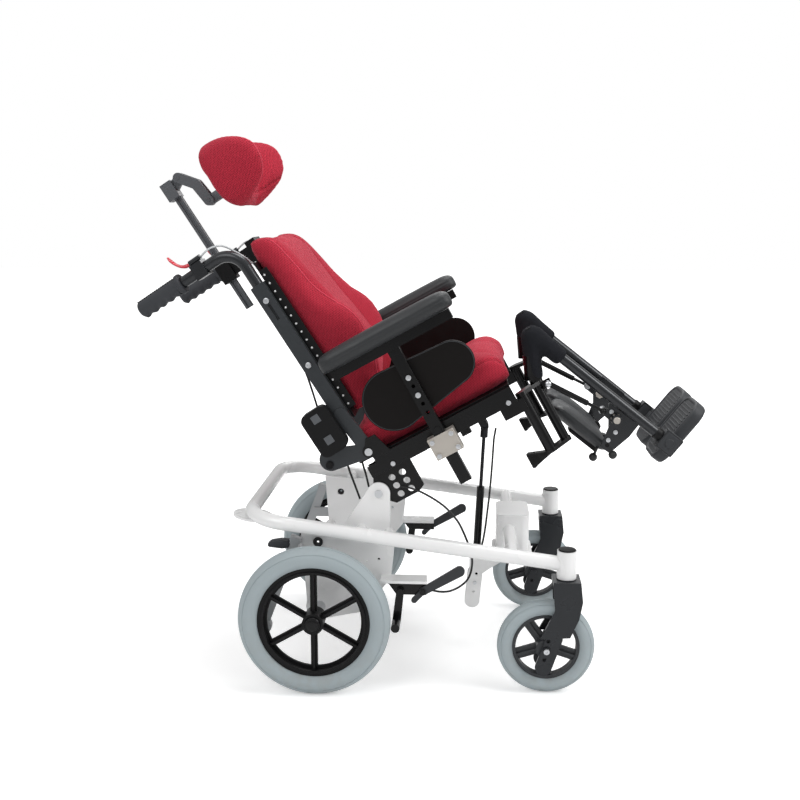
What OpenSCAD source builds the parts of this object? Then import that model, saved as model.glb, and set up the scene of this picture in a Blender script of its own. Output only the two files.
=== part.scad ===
// Tilt in space wheelchair, fully tilted back, facing +X, standing on Z = 0.
// Places on the base are measured from the rear axle, those on the seat from
// the tilt pivot along and square to the seat rails, those on the back from the
// recline pivot, and those on a legrest from its knee pivot.

/* [Posture] */
// Tilt of the seat rails above level, front up
tilt_deg = 29; // [24:1:30]
// Lean of the back posts past square to the seat rails
back_lean = 3.7; // [2:0.1:5]
// Drop of the leg tubes below the seat rails
leg_drop = 67; // [64:1:68]

/* [Base frame] */
// Place of the rear axle behind the origin
axle_back = 213.75; // [205:0.2:225]
// Height of the rear axle
axle_z = 157.5; // [150:0.5:165]
// Half the track of the rear wheels
wheel_y = 280; // [276:1:290]
// Outer radius of the frame tubes
tube_r = 15; // [13:0.5:16]
// Wall of the round tubes
tube_wall = 2; // [1.5:0.1:3]
// Half the width of the frame, tube centre to centre plane
frame_y = 240; // [236:1:246]
// Distance from the rear axle forward to the caster stems
stem_x = 514; // [505:1:530]
// Height of the frame tubes at the caster stems
frame_front_z = 275; // [272:1:280]
// Rise of the frame tubes towards the rear
frame_rise = 7.4; // [7:0.1:8]
// Reach of the rear bar behind the rear axle
rear_reach = 144.5; // [135:0.5:155]
// Radius of the rear corners at the tube centre
corner_r = 80; // [60:2:95]
// Length of each straight end of the rear loop
loop_leg = 24; // [18:1:40]
// Outer radius of the head tubes
head_r = 20; // [18:0.5:22]
// Top of the head tubes
head_top_z = 305; // [300:1:310]
// Underside of the head tubes
head_low_z = 247; // [246:1:255]
// Place of the front cross tube in front of the rear axle
cross_x = 403; // [390:1:415]
// Length of the cover on the cross tube, front to back
cover_len = 72; // [66:1:78]
// Half the width of the cover on the cross tube
cover_half_w = 60; // [50:1:70]
// Height of the cover on the cross tube
cover_h = 96; // [90:1:110]

/* [Side plates] */
// Outer face of the side plates
plate_y = 201; // [198:0.5:204]
// Thickness of the side plates
plate_t = 6; // [5:0.5:7]
// Place of the tilt pivot in front of the rear axle
tilt_x = 127; // [120:1:134]
// Height of the tilt pivot
tilt_z = 406; // [400:1:415]
// Radius of the plate round the tilt pivot
pivot_lobe_r = 24; // [21:0.5:26]
// Radius of the tilt pivot pins
tilt_pin_r = 6; // [5:0.5:8]
// Radius of the accessory bore in each side plate
accessory_r = 8; // [6:0.5:10]
// Height of the accessory bore
accessory_z = 302; // [298:1:310]
// Radius of the plate round the rear axle
axle_lobe_r = 28; // [24:1:34]

/* [Rear wheels] */
// Radius of the section of the rear tyre
tyre_r = 23; // [21:0.5:24]
// Radius of the seat of the rear tyre on its rim
tyre_seat_r = 116; // [113:1:119]
// Inner radius of the rear rim
rim_inner_r = 97; // [92:1:102]
// Width of the rear rim
rim_w = 26; // [22:1:27]
// Number of spokes in a rear wheel
spokes = 6; // [5:1:7]
// Radius of the rear hub
hub_r = 22; // [19:1:26]
// Width of the rear hub
hub_w = 48; // [40:1:52]
// Radius of the rear axle pins
axle_r = 6; // [5:0.5:8]

/* [Casters] */
// Outer radius of the caster wheels
caster_r = 100; // [95:1:104]
// Radius of the section of the caster tyre
caster_tyre_r = 17; // [14:0.5:18]
// Radius of the seat of the caster tyre on its rim
caster_seat_r = 69; // [67:1:73]
// Trail of the casters behind their stems
caster_trail = 39; // [30:1:45]
// Radius of the caster stems
stem_r = 11; // [9:0.5:13]
// Height of the fork plate above the floor
fork_z = 245; // [243:0.5:246]
// Thickness of the fork crown
fork_t = 8; // [6:0.5:10]
// Clear half width inside the fork
fork_half_gap = 23; // [20:0.5:25]
// Thickness of a fork leg
fork_leg_t = 6; // [4:0.5:8]
// Drop of the fork legs below the fork crown
fork_drop = 200; // [190:1:206]
// Radius of the caster axle
caster_axle_r = 5; // [4:0.5:6]

/* [Seat frame] */
// Centre plane of the seat rails
rail_y = 200; // [198:0.5:202]
// Width of the seat rails
rail_w = 25; // [22:0.5:26]
// Height of the seat rails
rail_h = 36; // [32:1:38]
// Underside of the seat rails above the tilt pivot
rail_low = 37; // [34:1:40]
// Rear end of the seat rails, from the tilt pivot
rail_rear = 8; // [4:1:12]
// Front end of the seat rails, from the tilt pivot
rail_front = 343; // [335:1:345]
// Side of the square cross bars
bar_side = 25; // [20:1:28]
// Thickness of the seat pan
pan_t = 3; // [2:0.5:4]
// Half the width of the seat pan
pan_half_w = 197; // [185:1:198]
// Half the width of the seat cushion
cushion_half_w = 195; // [180:1:197]
// Thickness of the seat cushion at the rear
cushion_rear_h = 66; // [55:1:70]
// Thickness of the seat cushion at its front swell
cushion_front_h = 86; // [75:1:95]
// Front of the seat cushion, from the tilt pivot
cushion_front = 358; // [345:1:362]

/* [Recline and back] */
// Recline pivot along the rails, from the tilt pivot
recline_s = 27.7; // [25:0.1:30]
// Recline pivot above the tilt pivot
recline_h = 89.5; // [88:0.5:93]
// Centre plane of the back posts
post_y = 188; // [186:0.5:190]
// Side of the square back posts
post_side = 30; // [28:0.5:32]
// Centre line of the back posts behind the recline pivot
post_back = 8; // [6:0.5:10]
// Foot of the back posts above the recline pivot
post_low = 78; // [76:1:84]
// Top of the back posts above the recline pivot
post_top = 406; // [395:1:420]
// Height of the back shell's lower edge above the recline pivot
shell_low = 74; // [72:1:90]
// Height of the back shell's top edge above the recline pivot
shell_top = 448; // [430:1:455]
// Distance of the back shell's edges inside the centres of the back posts
shell_edge_in = 4; // [2:0.5:10]
// Thickness of the back shell
shell_t = 4; // [3:0.5:5]
// Top of the back cushion above the recline pivot
back_cushion_top = 494; // [480:1:505]
// Half the width of the back cushion
back_cushion_half_w = 172; // [160:1:180]
// Depth of the back cushion in the middle
back_cushion_depth = 72; // [55:1:80]
// Reach of the side wings of the back cushion
back_wing = 122; // [105:1:126]

/* [Push handles] */
// Radius of the push handle tubes
handle_r = 12; // [10:0.5:12.5]
// Height of the push handles above the recline pivot
handle_q = 494; // [480:1:505]
// Radius of the bend in the push handles
handle_bend = 45; // [38:1:55]
// Reach of the push handles behind the recline pivot
handle_reach = 250; // [235:1:260]
// Length of the hand grips
grip_len = 112; // [100:1:125]
// Outer radius of the hand grips
grip_r = 18; // [16:0.5:20]
// Toe-in of the push handles
handle_toe = 7; // [0:0.5:8]

/* [Headrest] */
// Distance of the headrest stem behind the recline pivot
stem_back = 88.5; // [80:0.5:95]
// Side of the headrest stem
stem_side = 16; // [14:0.5:18]
// Lower end of the headrest stem above the recline pivot
stem_low = 383; // [370:1:395]
// Centre of the headrest clamp above the recline pivot
clamp_q = 685; // [670:1:700]
// Half the width of the headrest pad
headrest_half_w = 128; // [110:1:140]
// Height of the headrest pad
headrest_h = 142; // [125:1:155]
// Reach of the headrest wings in front of the recline pivot
headrest_wing = 150; // [130:1:156]

/* [Armrests] */
// Place of the arm posts along the rails
arm_s = 177; // [170:1:184]
// Centre plane of the arm posts
arm_post_y = 228; // [227:0.5:230]
// Width of an arm post along the rails
arm_post_w = 25; // [22:0.5:27]
// Thickness of an arm post
arm_post_t = 20; // [16:0.5:22]
// Lower end of the arm posts below the tilt pivot
arm_post_low = 54; // [48:1:56]
// Top of the arm rails above the tilt pivot
arm_rail_top = 272; // [262:1:285]
// Centre plane of the arm pads
arm_pad_y = 242; // [240:0.5:245]
// Length of the arm pads
arm_pad_len = 298; // [280:1:310]
// Rear end of the arm pads along the rails
arm_pad_rear = 30; // [24:1:40]
// Width of the arm pads
arm_pad_w = 56; // [50:1:60]
// Thickness of the arm pads
arm_pad_h = 38; // [32:1:42]
// Thickness of the side guards
guard_t = 4.5; // [3:0.5:5]

/* [Legrests] */
// Centre plane of the leg tubes
leg_y = 160; // [156:1:164]
// Knee pivot along the rails, from the tilt pivot
knee_s = 430; // [424:1:436]
// Knee pivot above the tilt pivot
knee_h = 143; // [138:1:148]
// Radius of the leg tubes
leg_r = 11; // [10:0.5:12]
// Length of a leg tube below the knee pivot
leg_len = 362; // [350:1:375]
// Radius of the knee foam
foam_r = 18; // [16:0.5:20]
// Swing-away axis along the rails
swing_s = 356; // [355:0.5:360]
// Swing-away axis across the chair
swing_y = 185; // [183:0.5:187]
// Radius of the swing-away pins
swing_pin_r = 8; // [6:0.5:9]
// Length of the calf pads
calf_len = 150; // [130:1:155]
// Width of the calf pads
calf_w = 130; // [110:1:136]
// Thickness of the calf pads
calf_t = 36; // [30:1:38]
// Length of a footplate, heel to toe
foot_len = 150; // [140:1:158]
// Width of a footplate
foot_w = 124; // [110:1:130]
// Thickness of a footplate
foot_t = 27; // [20:1:29]

/* [Hidden] */

$fn = 48;
// Overrun of every cut
cut = 1;
// Gap between pieces that move past each other
gap = 0.4;
// Radial clearance of a turning or sliding fit
fit = 0.05;
// Gap between pieces that lie against each other
seat_gap = 0.3;
// Gap at a welded joint between two pieces of the base
weld_gap = 0.02;
white = [0.93, 0.94, 0.95];
black = [0.09, 0.09, 0.1];
grey = [0.25, 0.26, 0.27];
silver = [0.72, 0.71, 0.68];
rubber = [0.64, 0.68, 0.7];
red = [0.72, 0.15, 0.23];

// Frames of reference
module at_axle() { translate([-axle_back, 0, 0]) children(); }
module at_seat() {
  at_axle() translate([tilt_x, 0, tilt_z]) rotate([0, -tilt_deg, 0]) children();
}
module at_back() {
  at_seat() translate([recline_s, 0, recline_h]) rotate([0, -back_lean, 0]) children();
}
module at_knee() {
  at_seat() translate([knee_s, 0, knee_h]) rotate([0, leg_drop, 0]) children();
}
module in_frame_plane() {
  at_axle() translate([stem_x, 0, frame_front_z]) rotate([0, frame_rise, 0]) children();
}
// The right side is the mirror of the left one
module right() { mirror([0, 1, 0]) children(); }
module both() { children(); right() children(); }

// Simple solids
// Cylinder along Y that starts at place [x, y, z]
module across(place, r, len) { translate(place) rotate([-90, 0, 0]) cylinder(h = len, r = r); }
// Cylinder along X that starts at place
module along(place, r, len) { translate(place) rotate([0, 90, 0]) cylinder(h = len, r = r); }
// Plate in the XZ plane from y to y + t
module plate(y, t) { translate([0, y + t, 0]) rotate([90, 0, 0]) linear_extrude(height = t) children(); }
// Box between two corners
module box(low, high) { translate(low) cube(high - low); }
// Flat link with round ends of two radii
module link_2d(a, ra, b, rb) {
  d = b - a;
  run = norm(d);
  off = (ra - rb) / run;
  turn = atan2(d[1], d[0]);
  up = [for (s = [1, -1]) [cos(turn + s * acos(off)), sin(turn + s * acos(off))]];
  inner_share = 0.99;
  translate(a) circle(r = ra);
  translate(b) circle(r = rb);
  polygon([a + up[0] * ra * inner_share, b + up[0] * rb * inner_share,
    b + up[1] * rb * inner_share, a + up[1] * ra * inner_share]);
}
// Rod between two points
module rod(a, b, r) {
  d = b - a;
  translate(a) rotate([0, acos(d[2] / norm(d)), atan2(d[1], d[0])]) cylinder(h = norm(d), r = r);
}
// Closed skin through equal loops of points
module skin(loops) {
  n = len(loops[0]);
  m = len(loops);
  all_points = [for (l = loops) each l];
  sides = [for (i = [0:m - 2], j = [0:n - 1]) let (a = i * n + j, b = i * n + (j + 1) % n)
    each [[a, a + n, b + n], [a, b + n, b]]];
  low_cap = [for (j = [1:n - 2]) [0, j, j + 1]];
  top_cap = [for (j = [1:n - 2]) [(m - 1) * n, (m - 1) * n + j + 1, (m - 1) * n + j]];
  polyhedron(points = all_points, faces = concat(sides, low_cap, top_cap), convexity = 6);
}
function bulge(t, power) = sign(t) * pow(abs(t), power);
function mix(a, b, t) = a + (b - a) * t;
function smooth(t) = let (c = max(0, min(1, t))) c * c * (3 - 2 * c);

// Base frame
// Length of the frame from the caster stems to the rear bar, along its tubes
frame_len = (stem_x + rear_reach) / cos(frame_rise);
rear_bar_run = frame_len - corner_r;
side_tube_len = rear_bar_run - loop_leg;
stub_r = tube_r - tube_wall;
module tube_run(from_x, to_x, y) {
  difference() {
    along([from_x, y, 0], tube_r, to_x - from_x);
    along([from_x - cut, y, 0], stub_r, to_x - from_x + 2 * cut);
  }
}
peg_r = 11;
peg_place_shares = [0.21, 0.72, 1.17];
function frame_z(x) = frame_front_z + (stem_x - x) * tan(frame_rise);
// Outline of a side plate: shares of the tilt pivot's place and of the axle height
plate_foot_share = 0.58;
plate_rear_shares = [-0.3, -0.2];
plate_front_shares = [1.28, 1.2];
plate_waist_share = 1.42;
plate_hole_shares = [[1, 1.68], [0.8, 1.65]];
module side_plate_2d() {
  foot = [tilt_x * plate_foot_share, axle_z + tube_r];
  difference() {
    union() {
      link_2d([tilt_x, tilt_z], pivot_lobe_r, [tilt_x - pivot_lobe_r, frame_z(tilt_x)], 2 * pivot_lobe_r);
      polygon([[tilt_x * plate_rear_shares[0], frame_z(0)],
        [tilt_x * plate_front_shares[0], frame_z(tilt_x)],
        [tilt_x * plate_front_shares[1], axle_z * plate_waist_share], [foot[0] + pivot_lobe_r, axle_z],
        [tilt_x * plate_rear_shares[1], axle_z]]);
      link_2d([0, axle_z], axle_lobe_r, foot, axle_lobe_r);
      translate([0, accessory_z]) circle(r = axle_lobe_r);
    }
    translate([tilt_x, tilt_z]) circle(r = tilt_pin_r);
    translate([0, axle_z]) circle(r = axle_r);
    translate([0, accessory_z]) circle(r = accessory_r);
    for (k = [0, 1]) translate([tilt_x * plate_hole_shares[k][0], axle_z * plate_hole_shares[k][1]])
      circle(r = small_hole_r / (k + 1));
  }
}
small_hole_r = 3;
cup_lip = 4;
cup_r = stem_r + cup_lip;
cup_deep = 12;
module base_side() {
  color(white) {
    in_frame_plane() difference() {
      tube_run(-side_tube_len, 0, frame_y);
      rotate([0, -frame_rise, 0]) translate([0, frame_y, -4 * head_r])
        cylinder(h = 8 * head_r, r = head_r - tube_wall);
    }
    at_axle() {
      translate([stem_x, frame_y, head_low_z]) difference() {
        cylinder(h = head_top_z - head_low_z, r = head_r);
        translate([0, 0, -cut]) cylinder(h = head_top_z - head_low_z + 2 * cut, r = stem_r + fit);
        translate([0, 0, head_top_z - head_low_z - cup_deep]) cylinder(h = cup_deep + cut, r = cup_r);
      }
      plate(plate_y - plate_t, plate_t) side_plate_2d();
      for (share = peg_place_shares) let (x = share * tilt_x)
        across([x, plate_y - tube_wall, frame_z(x)], peg_r, frame_y - tube_r - plate_y + 1.5 * tube_wall);
      lock_shelf();
    }
  }
}
// Shelf that carries the wheel lock
shelf_z = 231;
shelf_t = 6;
shelf_front = 228;
shelf_rear = 132;
shelf_out = 238;
module lock_shelf() {
  box([shelf_rear, plate_y - shelf_t / 2, shelf_z - shelf_t], [shelf_front, shelf_out, shelf_z]);
}
pad_disc_r = 42;
pad_disc_t = 5;
module rear_loop() {
  color(white) in_frame_plane() {
    difference() {
      union() {
        for (s = [-1, 1]) {
          along([-rear_bar_run, s * frame_y, 0], tube_r, rear_bar_run - side_tube_len);
          translate([-rear_bar_run, s * (frame_y - corner_r), 0]) mirror([0, s < 0 ? 1 : 0, 0])
            rotate([0, 0, 90]) rotate_extrude(angle = 90) translate([corner_r, 0]) circle(r = tube_r);
        }
        across([-frame_len, corner_r - frame_y, 0], tube_r, 2 * (frame_y - corner_r));
      }
      for (s = [-1, 1]) {
        along([-rear_bar_run, s * frame_y, 0], stub_r, rear_bar_run - side_tube_len + cut);
        translate([-rear_bar_run, s * (frame_y - corner_r), 0]) mirror([0, s < 0 ? 1 : 0, 0])
          rotate([0, 0, 90]) rotate_extrude(angle = 90) translate([corner_r, 0]) circle(r = stub_r);
      }
      across([-frame_len, corner_r - frame_y, 0], stub_r, 2 * (frame_y - corner_r));
    }
    // Foot pad under the right corner, for tipping the chair over a kerb
    translate([-frame_len + tube_wall, corner_r - frame_y - tube_wall, -tube_r - pad_disc_t + tube_wall / 2])
      cylinder(h = pad_disc_t, r = pad_disc_r);
  }
}
cross_r = 14;
lip_t = 5;
lip_out = 8;
cover_wall = 3;
cover_shift = 8;
cover_low_z = 228;
cover_round = 20;
spring_x = 329;
spring_low_z = 151;
spring_ear_y = 9.5;
ear_t = 4;
spring_pin_r = 4;
ear_r = 17;
module rounded_2d(w, h, r) {
  square([w - 2 * r, h], center = true);
  square([w, h - 2 * r], center = true);
  for (sx = [-1, 1], sy = [-1, 1]) translate([sx * (w / 2 - r), sy * (h / 2 - r)]) circle(r = r);
}
module front_cross() {
  cross_z = frame_z(cross_x);
  half = frame_y - tube_r / 4;
  color(white) at_axle() {
    difference() {
      union() {
        across([cross_x, -half, cross_z], cross_r, 2 * half);
        translate([cross_x + cover_shift, 0, cover_low_z]) linear_extrude(height = cover_h)
          rounded_2d(cover_len, 2 * cover_half_w, cover_round);
        translate([cross_x + cover_shift, 0, cover_low_z]) linear_extrude(height = lip_t)
          rounded_2d(cover_len + 2 * lip_out, 2 * (cover_half_w + lip_out), cover_round + lip_out);
      }
      across([cross_x, -half - cut, cross_z], cross_r - tube_wall, 2 * (half + cut));
      // The ends are coped to the side tubes
      for (s = [-1, 1]) translate([stem_x, 0, frame_front_z]) rotate([0, frame_rise, 0])
        along([-side_tube_len, s * frame_y, 0], tube_r + weld_gap, side_tube_len);
      translate([cross_x + cover_shift, 0, cover_low_z + lip_t])
        linear_extrude(height = cover_h - lip_t - cover_wall)
          rounded_2d(cover_len - 2 * cover_wall, 2 * (cover_half_w - cover_wall), cover_round - cover_wall);
    }
    for (s = [-1, 1]) plate(s > 0 ? spring_ear_y : -spring_ear_y - ear_t, ear_t) difference() {
      union() {
        link_2d([spring_x - ear_r / 3, spring_low_z - 2.5 * ear_r], ear_r,
          [spring_x, spring_low_z + ear_r], ear_r);
        polygon([[spring_x - ear_r * ear_neck_share, spring_low_z],
          [spring_x - ear_r * ear_neck_share, cover_low_z],
          [cross_x, cover_low_z + lip_t / 2], [cross_x, cover_low_z - ear_r],
          [spring_x + 2 * ear_r, spring_low_z + 2 * ear_r]]);
      }
      for (k = [-1:1]) translate([spring_x + k * spring_hole_lean, spring_low_z + k * spring_hole_pitch])
        circle(r = k == 0 ? spring_pin_r : small_hole_r);
    }
  }
}
ear_neck_share = 0.75;
spring_hole_pitch = 21;
spring_hole_lean = 3.5;
bolt_head_r = 8;
bolt_head_t = 5;
nut_t = 6;
axle_nut_r = 11;
axle_stop = 8;
axle_out = wheel_y + hub_w / 2 - axle_stop;
collar_r = 13;
module base_pins() {
  color(silver) at_axle() both() {
    across([0, plate_y - plate_t - nut_t, axle_z], axle_r, axle_out - plate_y + plate_t + nut_t);
    across([0, plate_y, axle_z], collar_r, wheel_y - hub_w / 2 - gap - plate_y);
    across([0, plate_y - plate_t - nut_t, axle_z], axle_nut_r, nut_t);
    across([tilt_x, bracket_in, tilt_z], tilt_pin_r, plate_y - bracket_in + cut);
    across([tilt_x, plate_y, tilt_z], bolt_head_r, bolt_head_t);
  }
  // Lower pin of the gas spring
  color(silver) at_axle() across([spring_x, -spring_ear_y - ear_t - small_nut_t, spring_low_z], spring_pin_r,
    2 * (spring_ear_y + ear_t + small_nut_t));
}
small_nut_t = 3;
// Tipping bars behind the rear wheels, with their tip caps and the pedal
tip_bar_w = 20;
tip_bar_t = 14;
tip_bar_y = 214;
tip_top = [-47, 305];
tip_low = [-118, 118];
tip_cap_len = 10;
tip_roll_r = 18;
tip_clip_rear = 17;
module tip_bars() {
  run = norm(tip_top - tip_low);
  lean = atan2(tip_top[1] - tip_low[1], tip_top[0] - tip_low[0]);
  color([0.6, 0.61, 0.62]) at_axle() both() {
    translate([tip_low[0], tip_bar_y, tip_low[1]]) rotate([0, -lean, 0]) {
      translate([0, -tip_bar_t / 2, -tip_bar_w / 2]) cube([run, tip_bar_t, tip_bar_w]);
      translate([run, -tip_bar_t / 2 - tube_wall, -tip_bar_w / 2 - tube_wall])
        cube([tip_cap_len, tip_bar_t + 2 * tube_wall, tip_bar_w + 2 * tube_wall]);
      across([0, -tip_bar_t / 2 - tube_wall, 0], tip_roll_r, tip_bar_t + 2 * tube_wall);
    }
    // Clip that carries the bar on the side plate
    let (x = tip_low[0] + (tip_bar_z - tip_low[1]) / tan(lean)) box([x, plate_y, tip_bar_z - peg_r],
      [-tip_clip_rear, tip_bar_y - tip_bar_t / 2 + cut, tip_bar_z + peg_r]);
  }
}
tip_bar_z = 248;

// Bore of the seat brackets starts here, across the chair
bracket_in = 188.7;
bracket_t = 5.5;
// Rear wheels
module tyre(r, section_r, seat_r, y, z) {
  color(rubber) translate([0, y, z]) rotate([-90, 0, 0]) difference() {
    rotate_extrude() translate([r - section_r, 0]) circle(r = section_r);
    translate([0, 0, -section_r - cut]) cylinder(h = 2 * (section_r + cut), r = seat_r);
  }
}
rim_t = 8;
spoke_flat_w = 14;
spoke_flat_t = 5;
spoke_rib_w = 5;
spoke_rib_h = 20;
cap_r = 15;
cap_t = 7;
bead_t = 5;
bead_w = 34;
module rear_tyre() {
  at_axle() tyre(axle_z, tyre_r, tyre_seat_r, wheel_y, axle_z);
}
module rear_rim() {
  bead_inner = tyre_seat_r - rim_t - bead_t;
  color(black) at_axle() translate([0, wheel_y, axle_z]) rotate([-90, 0, 0]) difference() {
    union() {
      difference() {
        union() {
          translate([0, 0, -rim_w / 2]) cylinder(h = rim_w, r = tyre_seat_r);
          translate([0, 0, -bead_w / 2]) cylinder(h = bead_w, r = tyre_seat_r - rim_t);
        }
        translate([0, 0, -rim_w]) cylinder(h = 2 * rim_w, r = bead_inner);
      }
      difference() {
        translate([0, 0, -rim_t / 4]) cylinder(h = rim_t / 2, r = bead_inner + cut);
        translate([0, 0, -rim_t]) cylinder(h = 2 * rim_t, r = rim_inner_r);
      }
      translate([0, 0, -hub_w / 2]) cylinder(h = hub_w, r = hub_r);
      translate([0, 0, hub_w / 2]) cylinder(h = cap_t, r = cap_r);
      for (k = [0:spokes - 1]) rotate([0, 0, 90 + k * 360 / spokes]) {
        translate([axle_r + rim_t, -spoke_flat_w / 2, -spoke_flat_t / 2])
          cube([bead_inner + cut - axle_r - rim_t, spoke_flat_w, spoke_flat_t]);
        translate([axle_r + rim_t, -spoke_rib_w / 2, -spoke_rib_h / 2])
          cube([bead_inner + cut - axle_r - rim_t, spoke_rib_w, spoke_rib_h]);
      }
    }
    translate([0, 0, -hub_w / 2 - cut]) cylinder(h = hub_w + cut, r = axle_r + fit);
  }
}
// Casters
stem_top_gap = 6;
fork_w = 56;
fork_leg_y = fork_half_gap + fork_leg_t;
// Fork leg outline, front edge then rear edge: shares of the crown width and of the drop
fork_front_shares = [[0.5, 0], [0.58, 0.2], [0.46, 0.38], [0.15, 0.58]];
fork_rear_shares = [[-0.95, 0.6], [-0.72, 0.48], [-0.42, 0.3], [-0.5, 0]];
fork_foot_r = 17;
fork_bend_share = 0.6;
fork_hole_r = 4;
module caster_fork() {
  foot_z = fork_z - fork_drop;
  color(grey) at_axle() translate([stem_x, frame_y, 0]) {
    cylinder_between(fork_z - fork_t / 2, head_top_z - stem_top_gap, stem_r);
    cylinder_between(fork_z - fork_t / 2, head_low_z - seat_gap, head_r);
    box([-fork_w / 2, -fork_leg_y, fork_z - fork_t], [fork_w / 2, fork_leg_y, fork_z]);
    for (s = [-1, 1]) plate(s > 0 ? fork_half_gap : -fork_leg_y, fork_leg_t) difference() {
      union() {
        polygon([for (p = concat(fork_front_shares, fork_rear_shares))
          [p[0] * fork_w, fork_z - cut - p[1] * fork_drop]]);
        link_2d([-caster_trail - fork_foot_r / 3, foot_z + fork_foot_r], fork_foot_r,
          [-caster_trail * fork_bend_share, fork_z - fork_drop * fork_bend_share], fork_foot_r);
      }
      for (k = [-1, 1]) translate([-caster_trail - k * spring_hole_lean, caster_r - k * fork_hole_pitch])
        circle(r = fork_hole_r);
    }
    across([-caster_trail, -fork_leg_y - bolt_head_t, caster_r], caster_axle_r,
      2 * (fork_leg_y + bolt_head_t));
    for (s = [-1, 1]) across([-caster_trail, s > 0 ? fork_leg_y : -fork_leg_y - bolt_head_t, caster_r],
      bolt_head_r, bolt_head_t);
  }
}
fork_hole_pitch = 20;
module cylinder_between(low, high, r) { translate([0, 0, low]) cylinder(h = high - low, r = r); }
caster_spokes = 5;
caster_spoke_w = 22;
caster_rim_t = 7;
caster_rim_w = 20;
caster_web_t = 8;
caster_rib_h = 18;
caster_hub_r = 21;
module caster_tyre() {
  at_axle() translate([stem_x - caster_trail, 0, 0])
    tyre(caster_r, caster_tyre_r, caster_seat_r, frame_y, caster_r);
}
module caster_rim() {
  hub_half = fork_half_gap - seat_gap;
  color(black) at_axle() translate([stem_x - caster_trail, frame_y, caster_r])
    rotate([-90, 0, 0]) difference() {
    union() {
      difference() {
        translate([0, 0, -caster_rim_w / 2]) cylinder(h = caster_rim_w, r = caster_seat_r);
        translate([0, 0, -caster_rim_w]) cylinder(h = 2 * caster_rim_w, r = caster_seat_r - caster_rim_t);
      }
      translate([0, 0, -hub_half]) cylinder(h = 2 * hub_half, r = caster_hub_r);
      for (k = [0:caster_spokes - 1]) rotate([0, 0, 90 + k * 360 / caster_spokes]) {
        translate([caster_hub_r / 2, -caster_spoke_w / 2, -caster_web_t / 2])
          cube([caster_seat_r - caster_rim_t / 2 - caster_hub_r / 2, caster_spoke_w, caster_web_t]);
        translate([caster_hub_r / 2, -spoke_rib_w / 2, -caster_rib_h / 2])
          cube([caster_seat_r - caster_rim_t / 2 - caster_hub_r / 2, spoke_rib_w, caster_rib_h]);
      }
    }
    translate([0, 0, -fork_half_gap]) cylinder(h = 2 * fork_half_gap, r = caster_axle_r + fit);
  }
}
// Wheel locks
lock_s = [221, 209];
shoe_s = [174, 209];
lock_plate_y = 229;
lock_plate_t = 4;
lock_low_z = 200;
lock_lever_y = lock_plate_y + lock_plate_t + seat_gap;
lock_pin_r = 4;
lock_head_r = 6.4;
lock_tip = [296, 254];
lock_tail = [203, 190];
shoe_pad_r = 9;
shoe_pad_w = 40;
shoe_pad_z = 143;
shoe_gap = 0.5;
// The shoe pad stands just clear of the tyre
shoe_low = [sqrt(pow(axle_z + shoe_pad_r + shoe_gap, 2) - pow(axle_z - shoe_pad_z, 2)), shoe_pad_z];
module lock_clamps() {
  color(black) at_axle() both() {
    plate(lock_plate_y, lock_plate_t) difference() {
      polygon([[shelf_rear + 2 * bolt_head_r, shelf_z - shelf_t], [shelf_front, shelf_z - shelf_t],
        [shelf_front, lock_low_z], [shoe_s[0] - bolt_head_r, lock_low_z]]);
    }
    box([shelf_rear + 2 * bolt_head_r, plate_y + shelf_t, shelf_z - shelf_t - lock_plate_t],
      [shelf_front, lock_plate_y + cut, shelf_z - shelf_t]);
    for (p = [lock_s, shoe_s]) {
      across([p[0], lock_plate_y, p[1]], lock_pin_r, lock_plate_t + lever_t + 2 * seat_gap);
      across([p[0], lock_lever_y + lever_t + seat_gap, p[1]], lock_head_r, lock_plate_t);
    }
  }
}
lever_t = 6;
lever_step = 0.5;
module lock_lever() {
  color(black) at_axle() difference() {
    union() {
      plate(lock_lever_y, lever_t) link_2d(lock_s, bolt_head_r, lock_tip, lock_knob_r);
      plate(lock_lever_y + lever_step, lever_t - 2 * lever_step) link_2d(lock_tail, lever_t, lock_s, lever_t);
    }
    across([lock_s[0], lock_lever_y - cut, lock_s[1]], lock_pin_r + fit, lever_t + 2 * cut);
  }
}
lock_knob_r = 11;
module lock_shoe() {
  color(black) at_axle() {
    plate(lock_lever_y, lever_t) difference() {
      link_2d(shoe_s, bolt_head_r, shoe_low, shoe_pad_r);
      translate(shoe_s) circle(r = lock_pin_r + fit);
    }
    across([shoe_low[0], lock_lever_y + lever_t - cut, shoe_low[1]], shoe_pad_r, shoe_pad_w);
  }
}
// Seat frame: rails, cross bars, pivot tube, brackets and legrest sockets
notch_len = 22;
notch_h = 11;
rail_wall = 2.5;
bracket_low = 36;
bracket_front = 92;
bracket_chamfer = 8;
hub_tube_r = 14;
bracket_lobe_r = 20;
hole_r = 7.2;
hole_cols = [40, 64.5];
hole_rows = [16, -3.5, -23];
recline_pin_r = 5;
ear_plate_y = 206.3;
ear_plate_t = 6;
ear_lobe_r = 13;
spring_s = 244;
spring_h = -12.8;
spring_top_y = 12;
rear_bar_s = 60;
front_bar_s = 318;
socket_r = 12;
socket_low = 84;
gusset_h = 26;
gusset_len = 40;
module box_tube(low, high, wall) {
  difference() {
    box(low, high);
    box([low[0] - cut, low[1] + wall, low[2] + wall], [high[0] + cut, high[1] - wall, high[2] - wall]);
  }
}
module seat_bracket_2d() {
  difference() {
    union() {
      polygon([[-hub_tube_r, 0], [rail_rear, rail_low + cut], [bracket_front, rail_low + cut],
        [bracket_front, bracket_chamfer - bracket_low], [bracket_front - 2 * bracket_chamfer, -bracket_low],
        [bracket_front / 4, -bracket_low]]);
      circle(r = bracket_lobe_r);
    }
    circle(r = tilt_pin_r + fit);
    for (s = hole_cols, h = hole_rows) translate([s, h]) circle(r = hole_r);
  }
}
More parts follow.
